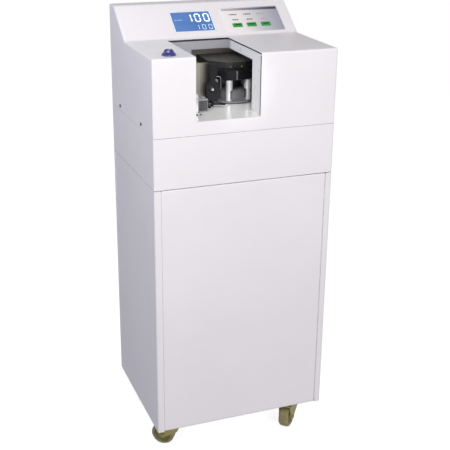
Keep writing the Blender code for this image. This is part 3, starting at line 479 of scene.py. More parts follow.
class Shape:
    """Geometry in millimetres, gathered until it is done as one named piece."""

    def __init__(self):
        self.bm = bmesh.new()

    def done(self, name, material, body="cabinet", slot=None, sharp=35):
        """Makes the piece, which rides on the body. The slot argument is not used."""
        self.bm.transform(Matrix.Scale(MM, 4))
        bmesh.ops.recalc_face_normals(self.bm, faces=self.bm.faces)
        mesh = bpy.data.meshes.new(name)
        self.bm.to_mesh(mesh)
        self.bm.free()
        soften(mesh, sharp)
        materials = material if isinstance(material, list) else [material]
        for one in materials:
            mesh.materials.append(one)
        made = bpy.data.objects.new(name, mesh)
        bpy.context.scene.collection.objects.link(made)
        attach(made, body)
        return made

    def loft(self, rows, index=0, ends=True, closed=False):
        """Joins rows of points, or a tip of one point; ends closes both last rows, closed joins them."""
        made = [[self.bm.verts.new(p) for p in row] for row in rows]
        sides = max(len(row) for row in made)
        for a, b in zip(made, made[1:] + made[:1] if closed else made[1:]):
            for i in range(sides):
                j = i + 1
                corners = [a[i % len(a)], a[j % len(a)], b[j % len(b)], b[i % len(b)]]
                if len(set(corners)) > 2:
                    self.bm.faces.new(list(dict.fromkeys(corners))).material_index = index
        for row in (made[0][::-1], made[-1]) if ends else ():
            if len(row) > 2:
                self.bm.faces.new(row).material_index = index
        return self

    def lathe(self, profile, matrix=Matrix(), steps=24, index=0):
        """A turned shape: profile is (radius, height) from its top centre down to its foot."""
        rows = []
        for radius, height in profile:
            angles = turns(steps) if radius else (0,)
            rows.append([matrix @ Vector((*polar(radius, a), height)) for a in angles])
        return self.loft(rows, index, ends=False)

    def prism(self, outline, low, high, matrix=Matrix(), index=0, chamfer=0):
        """A flat shape with upright sides, and a chamfer round its top if asked."""
        levels = [(low, 0), (high - chamfer, 0), (high, chamfer)] if chamfer else [(low, 0), (high, 0)]
        middle = sum((Vector(p) for p in outline), Vector((0, 0))) / len(outline)
        spokes = [Vector(p) - middle for p in outline]
        rows = []
        for z, inset in levels:
            rows.append([matrix @ Vector((*(middle + s * max(0, 1 - inset / s.length)), z)) for s in spokes])
        return self.loft(rows, index)

    def ring(self, levels, matrix=Matrix(), index=0):
        """A frame whose section runs through (outline, height), with as many points in each outline."""
        rows = [[matrix @ Vector((*p, z)) for p in outline] for outline, z in levels]
        return self.loft(rows, index, ends=False, closed=True)

    def block(self, low, high, edge=0.8, index=0, matrix=Matrix()):
        """A block between two corners, with rounded edges."""
        low, high, known = Vector(low), Vector(high), set(self.bm.faces)
        size = high - low
        spot = matrix @ Matrix.Translation((low + high) / 2) @ Matrix.Diagonal((*size, 1))
        corners = bmesh.ops.create_cube(self.bm, size=1, matrix=spot)["verts"]
        edges = list(dict.fromkeys(e for v in corners for e in v.link_edges))
        bmesh.ops.bevel(self.bm, geom=edges, offset=min(edge, min(size) * 0.4), segments=2, affect="EDGES",
                        profile=0.5)
        for face in self.bm.faces:
            if face not in known:
                face.material_index = index
        return self

    def screw(self, at, normal, size=4, along=(1, 0, 0), kind="cross", index=0):
        """A screw head of the given diameter, with a drive that is really sunk into it."""
        matrix = frame_at(Vector(at) - Vector(normal).normalized() * FLUSH, normal, along)
        socket = kind == "socket"
        radius = size / 2
        mouth, height = radius * (0.52 if socket else 0.56), radius * (1 if socket else 0.62)
        angles = turns(24)
        if socket:
            half, side = pi / 6, pi / 3
            drive = [mouth * cos(half) / cos(a % side - half) for a in angles]
        else:
            drive = [mouth * (1, 0.62, 0.36, 0.36, 0.36, 0.62)[i % 6] for i in range(24)]
        rows = [([radius * share] * 24, height * rise)
                for share, rise in ((0.985, 0), (1, 0.25), (0.93, 0.66), (0.7, 1))]
        rows += [(drive, height * 1.03), ([reach * 0.9 for reach in drive], height * 0.3)]
        return self.loft([[matrix @ Vector((*polar(r, a), z)) for r, a in zip(reaches, angles)]
                          for reaches, z in rows], index)

    def hex(self, at, normal, size, height, index=0):
        """A hexagon head with a chamfered top on a washer."""
        matrix = frame_at(Vector(at) - Vector(normal).normalized() * FLUSH, normal)
        thick = 0.9
        self.lathe([(0, thick), (size * 0.4, thick), (size * 0.78, thick), (size * 0.8, 0.7), (size * 0.8, 0),
                    (0, 0)], matrix, 24, index)
        reach = size / 2 / cos(pi / 6)
        outline = [polar(reach, a) for a in turns(6)]
        return self.prism(outline, thick, thick + height, matrix, index, size * 0.07)

    def tube(self, points, radius, sides=12, index=0):
        """A closed round bar along points, without twist."""
        rows = []
        side = (points[1] - points[0]).orthogonal()
        for i, p in enumerate(points):
            ahead = (points[min(i + 1, len(points) - 1)] - points[max(i - 1, 0)]).normalized()
            side = (side - side.dot(ahead) * ahead).normalized()
            other = ahead.cross(side)
            rows.append([p + (side * cos(a) + other * sin(a)) * radius for a in turns(sides)])
        return self.loft(rows, index)

    def hose_clip(self, centre, radius):
        """A worm-drive clip round an upright hose."""
        spot = Matrix.Translation(centre)
        section = (0.2, 4), (0.8, 4), (1.2, 3.6), (1.2, -3.6), (0.8, -4), (0.2, -4), (0.2, 4)
        self.lathe([(radius + out, z) for out, z in section], spot, 32)
        self.block((-5, -radius - 5.2, -3.4), (5, -radius - 0.6, 3.4), 0.8, 0, spot)
        return self.screw(Vector(centre) + Vector((5, -radius - 2.8, 0)), (1, 0, 0), 4.2, (0, 0, 1))


def screws(name, places, normal, material, body="cabinet", size=4, kind="cross", along=(1, 0, 0)):
    """Screws with the same head as one piece, all with the same normal unless it comes with the place."""
    shape = Shape()
    for place in places:
        at, out = (place, normal) if normal else place
        shape.screw(at, out, size, along, kind)
    return shape.done(name, material, body)


FRONT, BACK, UP = (0, -1, 0), (0, 1, 0), (0, 0, 1)


# ------------ console
DECK = 1019
FOOT, BROW, TOP = 42, 136, 1090  # depth of the slope's foot and of its upper edge, and the machine's height
# matrix of the console's slope: X is the machine's, Y runs up the slope, Z stands out of it
SLOPE = Matrix.Translation((0, FOOT, DECK)) @ Matrix.Rotation(atan2(TOP - DECK, BROW - FOOT), 4, "X")
PANEL_FACE = -0.8  # the display's and the overlay's faces, below the slope's surface


def segment_bars(height, width, stroke):
    """Centre lines of a seven-segment digit's bars, from its lower left corner."""
    gap = stroke * 0.62
    low, middle, high = stroke / 2, height / 2, height - stroke / 2
    left, right = stroke / 2, width - stroke / 2
    bars = {
        "a": ((left + gap, high), (right - gap, high)), "b": ((right, middle + gap), (right, high - gap)),
        "c": ((right, low + gap), (right, middle - gap)), "d": ((left + gap, low), (right - gap, low)),
        "e": ((left, low + gap), (left, middle - gap)), "f": ((left, middle + gap), (left, high - gap)),
    }
    return {"0": list(bars.values()), "1": [bars["b"], bars["c"]]}


def numerals(name, text, x, s, height, width, pitch, stroke, material):
    """Lit digits made of bars with pointed ends; x and s is the lower left corner on the slope."""
    shape = Shape()
    for i, character in enumerate(text):
        for bar in segment_bars(height, width, stroke)[character]:
            start, end = (Vector(p) + Vector((x + i * pitch, s)) for p in bar)
            along = (end - start).normalized() * stroke * 0.42
            side = Vector((-along.y, along.x)).normalized() * stroke / 2
            outline = [start - along, start + along * 0.35 - side, end - along * 0.35 - side, end + along,
                       end - along * 0.35 + side, start + along * 0.35 + side]
            shape.prism(outline, PANEL_FACE - FLUSH, PANEL_FACE + 0.12, SLOPE)
    shape.done(name, material)


def add_marks(shape, x, s, marks, height, radius, face):
    """Printed marks in a row on the slope: marks are (offset, width)."""
    for offset, width in marks:
        outline = rounded_rectangle(width, height, radius, (x + offset, s))
        shape.prism(outline, face - FLUSH, face + 0.1, SLOPE)
    return shape


def display():
    """White surround, and numerals that stand a hair's breadth above the blue."""
    low, high = Vector((-93, 20.5)), Vector((13, 89.5))
    rim = 2.6
    size, centre = high - low, (high + low) / 2
    outer = rounded_rectangle(size.x, size.y, 2.2, centre)
    inner = rounded_rectangle(size.x - 2 * rim, size.y - 2 * rim, 0.8, centre)
    Shape().ring(((outer, PANEL_FACE - FLUSH), (outer, PANEL_FACE + 0.6), (inner, PANEL_FACE + 0.3),
                  (inner, PANEL_FACE - FLUSH)), SLOPE).done("display_surround", WHITE_FRAME)
    numerals("display_count", "100", -54.5, 53, 27.2, 15, 22.8, 2.8, DIGITS)
    numerals("display_preset", "100", -36.9, 27.2, 16.5, 9.6, 17, 1.7, FAINT_DIGITS)
    marks = [(i * 5.4, width) for i, width in enumerate((4, 2.8, 5, 3.4))]
    add_marks(Shape(), -83, 61, marks, 3.4, 0.5, PANEL_FACE).done("display_mode_mark", FAINT_MARK)


def keypad():
    """Printed marks, indicator lenses and the dark band of the overlay, and a mark on each key."""
    band = rounded_rectangle(BAND_ENDS[1] - BAND_ENDS[0], 7.5, 1, (sum(BAND_ENDS) / 2, 88.5))
    Shape().prism(band, PANEL_FACE - FLUSH, PANEL_FACE + 0.12, SLOPE).done("overlay_band", BAND)
    columns = (73, 111, 149)
    key_face = 1.4
    for row, s, last_ink in (("upper", 71, OLIVE_PRINT), ("lower", 53.5, PINK_PRINT)):
        for n, (x, ink) in enumerate(zip(columns, (PRINT, PRINT, last_ink)), 1):
            marks = ((-5.8, 5), (-0.4, 4.8), (5, 4.6))
            add_marks(Shape(), x, s, marks, 3.4, 0.5, PANEL_FACE).done(f"overlay_mark_{row}_{n}", ink)
    lenses = Shape()
    for x in columns:
        foot = SLOPE @ Matrix.Translation((x - 11.2, 71, PANEL_FACE - FLUSH))
        lenses.lathe([(0, 1.1), (1, 0.9), (1.7, 0.4), (1.7, 0)], foot, 16)
    lenses.done("indicator_lenses", RED_LENS)
    for n, x in enumerate(columns, 1):
        marks = ((-5.4, 4.4), (0, 5.2), (5.6, 4.6))
        add_marks(Shape(), x, 35, marks, 4.2, 0.6, key_face).done(f"key_mark_{n}", DEEP_GREEN, f"key_{n}")


def knob():
    """Flared knob with eight lobes round its foot and a pointer line on its top."""
    low, high = box("regulator_knob")
    centre = (low + high) / 2
    outer = (high.x - low.x) / 2
    # radius, height, depth of the lobes
    profile = ((16.5, 0.4, 0.1), (16.5, 2.4, 0.12), (15.2, 4, 0.13), (12.8, 6.2, 0.12), (10.8, 9.5, 0.08),
               (10, 11.8, 0.05), (8.6, 13.1, 0), (5, 13.5, 0), (0, 13.4, 0))
    rows = []
    for radius, height, depth in profile:
        row = []
        for angle in turns(96) if radius else (0,):
            reach = min(outer, radius) * (1 - depth * (0.5 - 0.5 * cos(8 * angle)) ** 1.5)
            x, y = polar(reach, angle)
            row.append((centre.x + x, centre.y + y, DECK + height))
        rows.append(row)
    stem = [(0, 0.6), (3.3, 0.6), (3.3, low.z - DECK), (0, low.z - DECK)]
    lobed = Shape().loft(rows).lathe(stem, Matrix.Translation((centre.x, centre.y, DECK)))
    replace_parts(lobed.done("regulator_knob_lobed", BLUE, "knob", sharp=50), "regulator_knob")
    pointer = rounded_rectangle(1.2, 6.8, 0.5, (centre.x, centre.y - 4.2))
    Shape().prism(pointer, DECK + 12.8, DECK + 13.58).done("knob_pointer", WHITE_FRAME, "knob")


# ------------ counting bay
def bay_hardware():
    """Screws and small fittings of the clamp, the arm, the lever and the table, and black strips that paint
    the shade in the bay's front edge gaps.
    """
    face = box("pusher_arm")[0].y
    boss = frame_at((-44, face + FLUSH, 916.5), FRONT)
    arm = Shape().lathe([(0, 1.6), (6.4, 1.6), (8, 1), (9.2, 0), (0, 0)], boss, 32)
    for centre, width, height in (((-46.2, 956), 2.8, 30), ((-31.2, 961), 2.2, 22), ((-30, 906), 6, 6)):
        outline = rounded_rectangle(width, height, width * 0.45, centre)
        arm.prism(outline, -FLUSH, 1.4, facing_front(face), 0, 0.4)
    arm.done("arm_casting_details", BLACK, "arm")
    screws("arm_screw", [(-44, face - 1.4, 916.5)], FRONT, BRIGHT_ZINC, "arm", 8.4, "socket")
    screws("arm_small_screw", [(-30, face - 1.2, 906)], FRONT, DARK_SCREW, "arm", 3.6)
    rod = [(x, face + back, z) for x, back, z in (
        (-30, 5, 911), (-24.2, 4, 912), (-22.2, 2, 915), (-21.8, 1.4, 920), (-21.8, 1.4, 938),
        (-22.2, 2, 942), (-24.2, 4, 944.5), (-32, 5, 945))]
    Shape().tube(smooth_route(rod, 8), 1, 14).done("arm_guide_rod", DULL_STEEL, "arm")
    washers = Shape()
    for rim, thick, z in ((4.8, 0.8, 883 - FLUSH), (4.4, 0.7, 879.3)):
        washers.lathe([(3.1, thick), (rim - 0.2, thick), (rim, thick - 0.2), (rim, 0), (3.1, 0)],
                      Matrix.Translation((-51, -66, z)))
    washers.done("lever_washers", PIN_STEEL, "lever")
    low, high = box("bay_liner")
    # black strips fill the gaps at the bay's front edges: painted shade of the cover's shaded returned edge
    shade_strips = Shape()
    for x in (low.x + 0.6, high.x - 5):
        shade_strips.block((x, low.y - 2.6, 873.5), (x + 4.4, low.y + 0.2, high.z - 1), 0.3)
    shade_strips.done("bay_edge_shade_strips", RUBBER)
    table = box("counting_table")[1].z
    screws("table_screws", [(-101, -122, table), (-93, -123.5, table), (-101, -30, table)], UP, DARK_SCREW,
           size=4.6, kind="socket")
    low, high = box("clamp_block")
    middle = (low + high) / 2
    places = [(middle.x + dx, middle.y, high.z) for dx in (-6, 6)]
    screws("block_screws", places, UP, PIN_STEEL, "clamp_jaw", 4.2, "socket")
    front = facing_front(low.y)
    pad = Shape().prism(rounded_rectangle(high.x - low.x - 3, high.z - low.z - 6, 1, (middle.x, middle.z)),
                        -0.2, 0.6, front, 0, 0.3)
    ribs = 7
    for i in range(ribs):
        z = low.z + 5 + i * (high.z - low.z - 10) / (ribs - 1)
        pad.prism(rounded_rectangle(high.x - low.x - 5, 1.6, 0.6, (middle.x, z)), 0.5, 1, front)
    pad.done("clamp_pad", PAD, "clamp_jaw")
    low, high = box("clamp_backplate")
    screws("backplate_screws", [(x, low.y + 10, low.z + 2) for x in (low.x + 10, high.x - 8)], UP, DARK_SCREW,
           size=5, kind="socket")


def spindle_section(angle, z):
    """A point of the spindle's skin, across and along its flat: round, cut flat below, slotted."""
    radius = 8.12 if 878.3 <= z <= 928.2 else 7.72
    across, beside = polar(radius, angle)
    fillet = 4
    if z < 904:
        across = min(across, 2.72 + fillet - sqrt(fillet**2 - max(0, z - 900) ** 2))
    if abs(angle) < radians(8.5):
        for start, end, depth in ((884, 898, 1), (908, 921, 5.7)):
            if start < z < end:
                across = min(across, depth)
    return across, beside


def spindle_skins():
    """The ground surface of each spindle, with its flat, its shoulder and both suction slots."""
    angles = [radians(a) for a in (-8.9, -8.1, 0, 8.1, 8.9)] + turns(45, 15, 7.5)
    levels = (878, 878.4, 883.97, 884.03, 897.97, 898.03, 900, 900.8, 901.6, 902.4, 903.1, 903.6, 903.97,
              904.03, 907.97, 908.03, 920.97, 921.03, 928.1, 928.5)
    for n, facing in enumerate(SPINDLE_FACINGS, 1):
        at = joint_line(f"spindle_{n}_spin")[1]
        turn = Matrix.Translation((at.x, at.y, 0)) @ Matrix.Rotation(radians(facing), 4, "Z")
        rows = [[turn @ Vector((*spindle_section(a, z), z)) for a in angles] for z in levels]
        Shape().loft(rows).done(f"spindle_skin_{n}", SPINDLE, f"spindle_{n}")


def bracket_details():
    """Screws and ribs on the casting over the turret, and a clip and screws on the partition."""
    front = box("head_bracket")[0].y
    screws("bracket_left_screw", [(15, front, 959.2)], FRONT, PIN_STEEL, size=4.4, kind="socket")
    screws("bracket_right_screw", [(44, front, 958.8)], FRONT, ZINC, size=5, kind="socket")
    ribs = Shape()
    for x in (21, 33, 52):
        ribs.block((x - 0.8, front - 1, 955.5), (x + 0.8, front + 1, 969), 0.4)
    ribs.done("bracket_ribs", BRACKET)
    screws("partition_screws", [(x, 86, 983) for x in (-105, -45)], FRONT, DARK_SCREW, size=5)
    Shape().block((-90, 84.8, 964), (-60, 86.2, 976), 0.5).done("partition_clip", DARK)


def turret_hardware():
    """Rim screws and keeper strips of the turret's head, and ribs round its drum."""
    low, high = box("turret_head")
    centre = (low + high) / 2
    rim = (high.x - low.x) / 2

    def round_turret(count, start, radius, z):
        """Places round the turret, and the way out at each."""
        for angle in turns(count, start):
            out = Vector((*polar(1, angle), 0))
            yield Vector((centre.x, centre.y, z)) + out * radius, out

    places = round_turret(5, FIRST_SPINDLE, rim - 0.1, high.z - 6)
    screws("turret_rim_screws", places, None, DARK_SCREW, "turret", 4.6, "socket", UP)
    strips, ribs = Shape(), Shape()
    for at, out in round_turret(5, FIRST_SPINDLE + 23, rim, high.z - 12.5):
        strips.block((-10.5, -1.7, -1.2), (10.5, 1.7, 1), 0.6, 0, frame_at(at, out, UP))
    strips.done("turret_keeper_strips", DULL_STEEL, "turret")
    for at, out in round_turret(15, FIRST_SPINDLE, 32.6, box("turret_base")[0].z + 17.5):
        ribs.prism(rounded_rectangle(15, 2.4, 1), -0.4, 0.3, frame_at(at, out, UP), 0, 0.1)
    ribs.done("drum_ribs", DRUM, "turret")


# ------------ outside hardware
def cover_screws():
    """Dark screws in the sides, and bright ones round the rear panels."""
    edge = box("top_cover")[1].x
    places = [((side * edge, y, 852), (side, 0, 0)) for side in (-1, 1) for y in (-85, 97)]
    screws("side_screws", places, None, DARK_SCREW, size=7.8, along=UP)
    rear = box("rear_panel_upper")[1]
    places = [(side * (rear.x - 14), rear.y, z) for z in (150, 400, 650, 735, 900, 1065) for side in (-1, 1)]
    screws("rear_screws", places, BACK, BRIGHT_ZINC, size=7)


def castor_hardware():
    """Bolts through the plates, axle nuts, king pins, ball races and wheel rings."""
    for corner in CORNERS:
        low, high = box(f"castor_plate_{corner}")
        centre = (low + high) / 2
        bolts, nuts, rings = Shape(), Shape(), Shape()
        for sx in (-1, 1):
            for sy in (-1, 1):
                bolts.hex((centre.x + sx * 23.5, centre.y + sy * 17.5, 71.7), (0, 0, -1), 6.8, 2.6)
        bolts.done(f"castor_bolts_{corner}", BRIGHT_ZINC)
        axis, hub = joint_line(f"wheel_{corner}_spin")
        for way in (-axis, axis):
            nuts.hex(hub + way * 17, way, 9.5, 3)
            rings.lathe([(12.5, 0), (12.5, 1.2), (14, 1.8), (19, 1.8), (20, 1), (20, 0), (12.5, 0)],
                        frame_at(hub + way * 10.3, way), 48)
        nuts.done(f"axle_nuts_{corner}", ZINC, f"castor_{corner}")
        Shape().hex((centre.x, centre.y, 62.5), (0, 0, -1), 10, 1.2).done(
            f"king_pin_{corner}", BRIGHT_ZINC, f"castor_{corner}")
        Shape().lathe([(15.8, 3.4), (18.6, 3), (19.2, 1.8), (18.8, 0.4), (15.8, 0)],
                      Matrix.Translation((centre.x, centre.y, 68)), 40).done(f"ball_race_{corner}", ZINC)
        rings.done(f"wheel_rings_{corner}", HUB, f"wheel_{corner}")


def rear_fittings():
    """Inlet pins and flange, rocker frame with its marks, fuse holder, and a blank plate."""
    low, high = box("power_inlet")
    centre = (low + high) / 2
    face = box("rear_panel_upper")[1].y
    outward = Matrix(((1, 0, 0, 0), (0, 0, 1, face), (0, 1, 0, 0), (0, 0, 0, 1)))
    level = 770  # height of the row of fittings

    def frame_round(name, at, outer, inner, top):
        outer, inner = (rounded_rectangle(*sizes, at) for sizes in (outer, inner))
        levels = (outer, -FLUSH), (outer, top - 0.3), (outer, top), (inner, top), (inner, -FLUSH)
        Shape().ring(levels, outward).done(name, BLACK_PLASTIC)

    pins = Shape()
    for dx, dz in ((-6, 0), (6, 0), (0, 3.5)):
        foot = frame_at((centre.x + dx, face - 19, centre.z + dz), BACK)
        pins.prism(rounded_rectangle(1.2, 3.6, 0.5), 0, 13, foot, 0, 0.4)
    pins.done("inlet_pins", BRASS)
    frame_round("inlet_flange", (centre.x, centre.z), (44, 30, 4), (24, 18, 2), 2)
    places = [(centre.x + dx, face + 2, centre.z) for dx in (-17, 17)]
    screws("inlet_screws", places, BACK, BRIGHT_ZINC, size=5)
    low, high = box("power_switch")
    x = (low.x + high.x) / 2
    frame_round("switch_frame", (x, level), (19, 29, 2), (13.8, 23.6, 0.6), 1.4)
    upper = frame_at((x, face - 2.22, 775.5), (0, 1, -0.32), UP)
    marks = Shape().prism(rounded_rectangle(4.2, 1, 0.4), -FLUSH, 0.2, upper)
    marks.lathe([(1.3, 0.2), (2.1, 0.2), (2.1, -FLUSH), (1.3, -FLUSH), (1.3, 0.2)],
                frame_at((x, face - 3.06, 764.5), (0, 1, 0.17), UP))
    marks.done("switch_marks", WHITE_FRAME, "rocker", "black_plastic")
    holder = frame_at((103, face - FLUSH, level), BACK, UP)
    profile = [(0, 5.2), (4.8, 5.2), (5.5, 4.6), (5.8, 1.6), (8, 1.4), (8.4, 1), (8.4, 0), (0, 0)]
    fuse = Shape().lathe(profile, holder, 40)
    for angle in turns(12):
        fuse.block((5, -0.4, 1.6), (6.2, 0.4, 4.6), 0.2, 0, holder @ Matrix.Rotation(angle, 4, "Z"))
    fuse.done("fuse_holder", BLACK_PLASTIC)
    x = -60
    plate = Shape().prism(rounded_rectangle(70, 38, 2, (x, level)), -FLUSH, 0.6, outward, 0, 0.2)
    for dx in (-31.5, 31.5):
        for dz in (-15.5, 15.5):
            rivet = frame_at((x + dx, face, level + dz), BACK)
            plate.lathe([(0, 1.6), (1, 1.4), (1.7, 0.6), (1.7, 0)], rivet, 16)
    for row, width in enumerate((41.6, 32.24, 38.48, 26)):
        line = rounded_rectangle(width, 1.6, 0.4, (x + 26 - width / 2, level + 9.5 - row * 6.2))
        plate.prism(line, 0.4, 0.7, outward, 1)
    plate.done("rating_plate_blank", [ALLOY, PRINT], slot="bright_steel")


# ------------ inside the cabinet
def pump_details():
    """Fins, cowl grille, bolts, end cap, terminal box and silencer of the pump, and its hose's clips."""
    y, z = 10, 160
    axis = Matrix.Translation((0, y, z))
    fins = Shape()
    for angle in turns(24, -52, 284 / 23):
        fins.block((-113, 56, -0.9), (28, 64, 0.9), 0.6, 0, axis @ Matrix.Rotation(angle, 4, "X"))
    fins.done("pump_fins", PUMP)
    rear = Matrix.Translation((-150, y, z)) @ Matrix.Rotation(radians(-90), 4, "Y")
    grille = Shape()
    for radius in range(12, 58, 9):
        section = (-1.6, 2), (1.6, 2), (2.2, -FLUSH), (-2.2, -FLUSH), (-1.6, 2)
        grille.lathe([(radius + out, up) for out, up in section], rear, 48)
    for angle in turns(8):
        grille.block((10, -1.3, -FLUSH), (59, 1.3, 2.8), 0.5, 0, rear @ Matrix.Rotation(angle, 4, "Z"))
    grille.done("cowl_grille", MOTOR)
    bolts = Shape()
    for x, circle, size, height in ((110, 36, 8, 4), (46, 56, 7, 3.6)):
        for angle in turns(6, 30):
            dy, dz = polar(circle, angle)
            bolts.hex((x, y + dy, z + dz), (1, 0, 0), size, height)
    for x in (-99, 85):
        for side in (-45, 65):
            bolts.hex((x, side, 92), UP, 10, 5)
    bolts.done("pump_bolts", BRIGHT_ZINC)
    cap = Matrix.Translation((110, y, z)) @ Matrix.Rotation(radians(90), 4, "Y")
    Shape().lathe([(0, 6), (14, 6), (16, 4), (26, 3), (28, 1), (28, -FLUSH), (0, -FLUSH)], cap, 48).done(
        "pump_end_cap", ALLOY)
    Shape().block((-70, y - 26, 208), (-8, y + 26, 248), 3).block(
        (-71.5, y - 27.5, 244), (-6.5, y + 27.5, 252), 2).done("terminal_box", GREY_PLASTIC)
    places = [(x, side, 252) for x in (-66, -12) for side in (y - 22, y + 22)]
    screws("terminal_box_screws", places, UP, BRIGHT_ZINC, size=5.2)
    Shape().lathe([(3, 16), (5.2, 16), (6.8, 14), (7.2, 6), (8.4, 5), (8.4, -FLUSH), (3, -FLUSH)],
                  frame_at((-39, y - 27.5, 228), FRONT)).done("cable_gland", BLACK_PLASTIC)
    upright = Matrix.Translation((90, -48, 130))
    silencer = Shape().lathe([(0, 106), (13, 106), (17, 104), (18, 100), (18, 18), (17, 15), (12, 13),
                              (7, 12), (7, 0), (0, 0)], upright, 36)
    for level in range(9):
        section = (17.8, 2.2), (19, 1.6), (19, -1.6), (17.8, -2.2)
        silencer.lathe([(radius, 24 + level * 8.5 + up) for radius, up in section], upright, 36)
    silencer.done("exhaust_silencer", ALLOY)
    elbow = smooth_route([(90, -30, 140), (90, -40, 139), (90, -47.5, 136), (90, -48, 131)])
    Shape().tube(elbow, 5.5, 16).done("exhaust_elbow", BRASS)
    Shape().hose_clip((80, 10, 236), 8.1).hose_clip((33, 1, 706), 8.1).done("hose_clips", BRIGHT_ZINC)


def power_supply():
    """Perforated power supply with its row of terminals."""
    low, high = Vector((171.2, -60, 430)), Vector((223.2, 90, 630))
    supply = Shape().block(low, high, 2)
    for row in range(11):
        for column in range(5):
            at = (low.x, low.y + 22 + column * 26.5, low.z + 28 + row * 14)
            supply.prism(rounded_rectangle(18, 4.8, 2.2), -FLUSH, 0.6, frame_at(at, (-1, 0, 0), BACK), 1, 0.2)
    supply.done("power_supply", [ALLOY, DARK])
    terminals = Shape().block((low.x + 6, low.y - 14, low.z + 20), (high.x - 4, low.y + 1, low.z + 100), 1.2)
    for i in range(7):
        z = low.z + 27 + i * 11
        terminals.screw((low.x + 26, low.y - 14, z), FRONT, 5.8, index=1)
        terminals.block((low.x + 8, low.y - 16.5, z + 4.6), (high.x - 6, low.y - 13.5, z + 6), 0.4)
    terminals.done("supply_terminals", [BLACK_PLASTIC, BRASS])


def air_fittings():
    """Filter with its felt and head, and the tube up to the regulator."""
    foot = Matrix.Translation((115, 118, 405))
    Shape().lathe([(26, 106), (27, 104), (27, 6), (24, 1), (0, 0), (0, 2.2), (23, 3), (25, 7), (25, 106),
                   (26, 106)], foot, 40).done("filter_jar", JAR)
    felt = [(0, 102), (15, 102), (16, 100), (16, 25), (15, 23), (0, 23)]
    Shape().lathe(felt, foot, 32).done("filter_felt", FELT)
    head = Shape().lathe([(0, 130), (15, 130), (18, 128), (27, 125), (29.5, 123), (30, 118), (30, 103),
                          (29, 102), (0, 102)], foot, 40)
    for angle in turns(20):
        head.block((29, -1.4, 105), (31.2, 1.4, 121), 0.5, 0, foot @ Matrix.Rotation(angle, 4, "Z"))
    head.block((100, 143, 508), (130, 178, 528), 1.5).block((90, 175.8, 490), (140, 178.3, 545), 1)
    head.done("filter_head", BLACK_PLASTIC)
    route = [(115, 118, 534), (114, 117, 560), (100, 95, 600), (70, 50, 650), (47, 20, 680), (38, 6, 688)]
    Shape().tube(smooth_route(route, 8), 4, 14).done("regulator_tube", RUBBER)


def wiring():
    """The pump's cable, and the wires up to the head in their saddles."""
    route = [(-39, -33, 228), (-39, -56, 230), (-10, -90, 270), (80, -105, 340), (160, -90, 410),
             (190, -80, 450), (196, -77, 462)]
    Shape().tube(smooth_route(route, 8), 3.4, 14).done("pump_cable", BLACK_PLASTIC, slot="black_rubber")
    wires = Shape()
    for i, shift in enumerate((0, 3.6, 7.2)):
        route = [(196 + shift, -77, 495), (200 + shift, -90, 530), (206, -98 + shift, 620),
                 (206, -96 + shift, 700), (204, -94 + shift, 718.5)]
        wires.tube(smooth_route(route, 8), 1.7, 10, i)
    wires.done("supply_wires", [BLUE_WIRE, BROWN_WIRE, GREEN_WIRE])
    saddles = Shape()
    for y, z in ((-94.5, 580), (-92.5, 670)):
        saddles.block((201.5, y - 8, z - 4.5), (223.2, y + 8, z + 4.5), 1.2)
    saddles.done("wire_saddles", BLACK_PLASTIC)


def door_fittings():
    """Stiffener, striker, buffers and seals of the door, and the catch that holds it."""
    catch, poles = Shape().block((148, -161, 690), (186, -145, 704), 1.2), Shape()
    for x in (152, 182):
        catch.block((x - 2, -160, 702), (x + 2, -148, 719.4), 0.6)
    catch.done("magnetic_catch", BLACK_PLASTIC)
    for z in (692.5, 699):
        poles.block((152, -162.2, z), (182, -160, z + 2.4), 0.4)
    poles.done("catch_poles", PIN_STEEL)
    low, high = box("front_door")
    skin = low.y + 1.5
    half, depth, lip, thick = 18, 11, 12, 1.2
    right = [(half - 4, depth), (half, 0), (half + lip, 0)]
    section = [(-x, d) for x, d in reversed(right)] + right
    outline = [(x, skin + d) for x, d in section] + [(x, skin + d + thick) for x, d in reversed(section)]
    Shape().prism(outline, low.z + 30, high.z - 40).done("door_stiffener", WHITE, "door")
    welds = Shape()
    for z in (150, 300, 450, 600):
        for side in (-1, 1):
            spot = frame_at((side * (half + lip / 2), skin + thick, z), BACK)
            welds.lathe([(0, 0.6), (2.2, 0.5), (3, 0)], spot, 20)
    welds.done("stiffener_welds", PIN_STEEL, "door")
    striker, buffers = Shape().block((150, -164.2, 689), (184, -163, 705), 0.4), Shape()
    for x in (150, 182.4):
        striker.block((x, skin - FLUSH, 689), (x + 1.6, -163.2, 705), 0.4)
    striker.done("door_striker", PIN_STEEL, "door")
    for x in (low.x + 1.6, high.x - 5):
        buffers.block((x, skin - FLUSH, low.z + 20), (x + 3.4, skin + 3, high.z - 20), 1)
    buffers.done("door_buffer_strips", RUBBER, "door")
    for name, start, end, body in (("hinge_side_seal", -210.6, low.x + FLUSH, "door"),
                                   ("free_side_seal", 208.7, 211.2, "cabinet")):
        seal = Shape().block((start, low.y + 1.8, low.z + 4), (end, low.y + 4.4, high.z - 4), 0.3)
        seal.done(name, LIGHT_SEAL, body)


# ------------ studio
# colours from the -1 side and from the +1 side of each axis; they add up
WORLD_TONES = (
    ("X", (0.050, 0.054, 0.112), (0.250, 0.244, 0.242)),
    ("Y", (0.270, 0.266, 0.270), (0.028, 0.028, 0.030)),
    ("Z", (0.238, 0.238, 0.240), (0.094, 0.085, 0.062)),
)


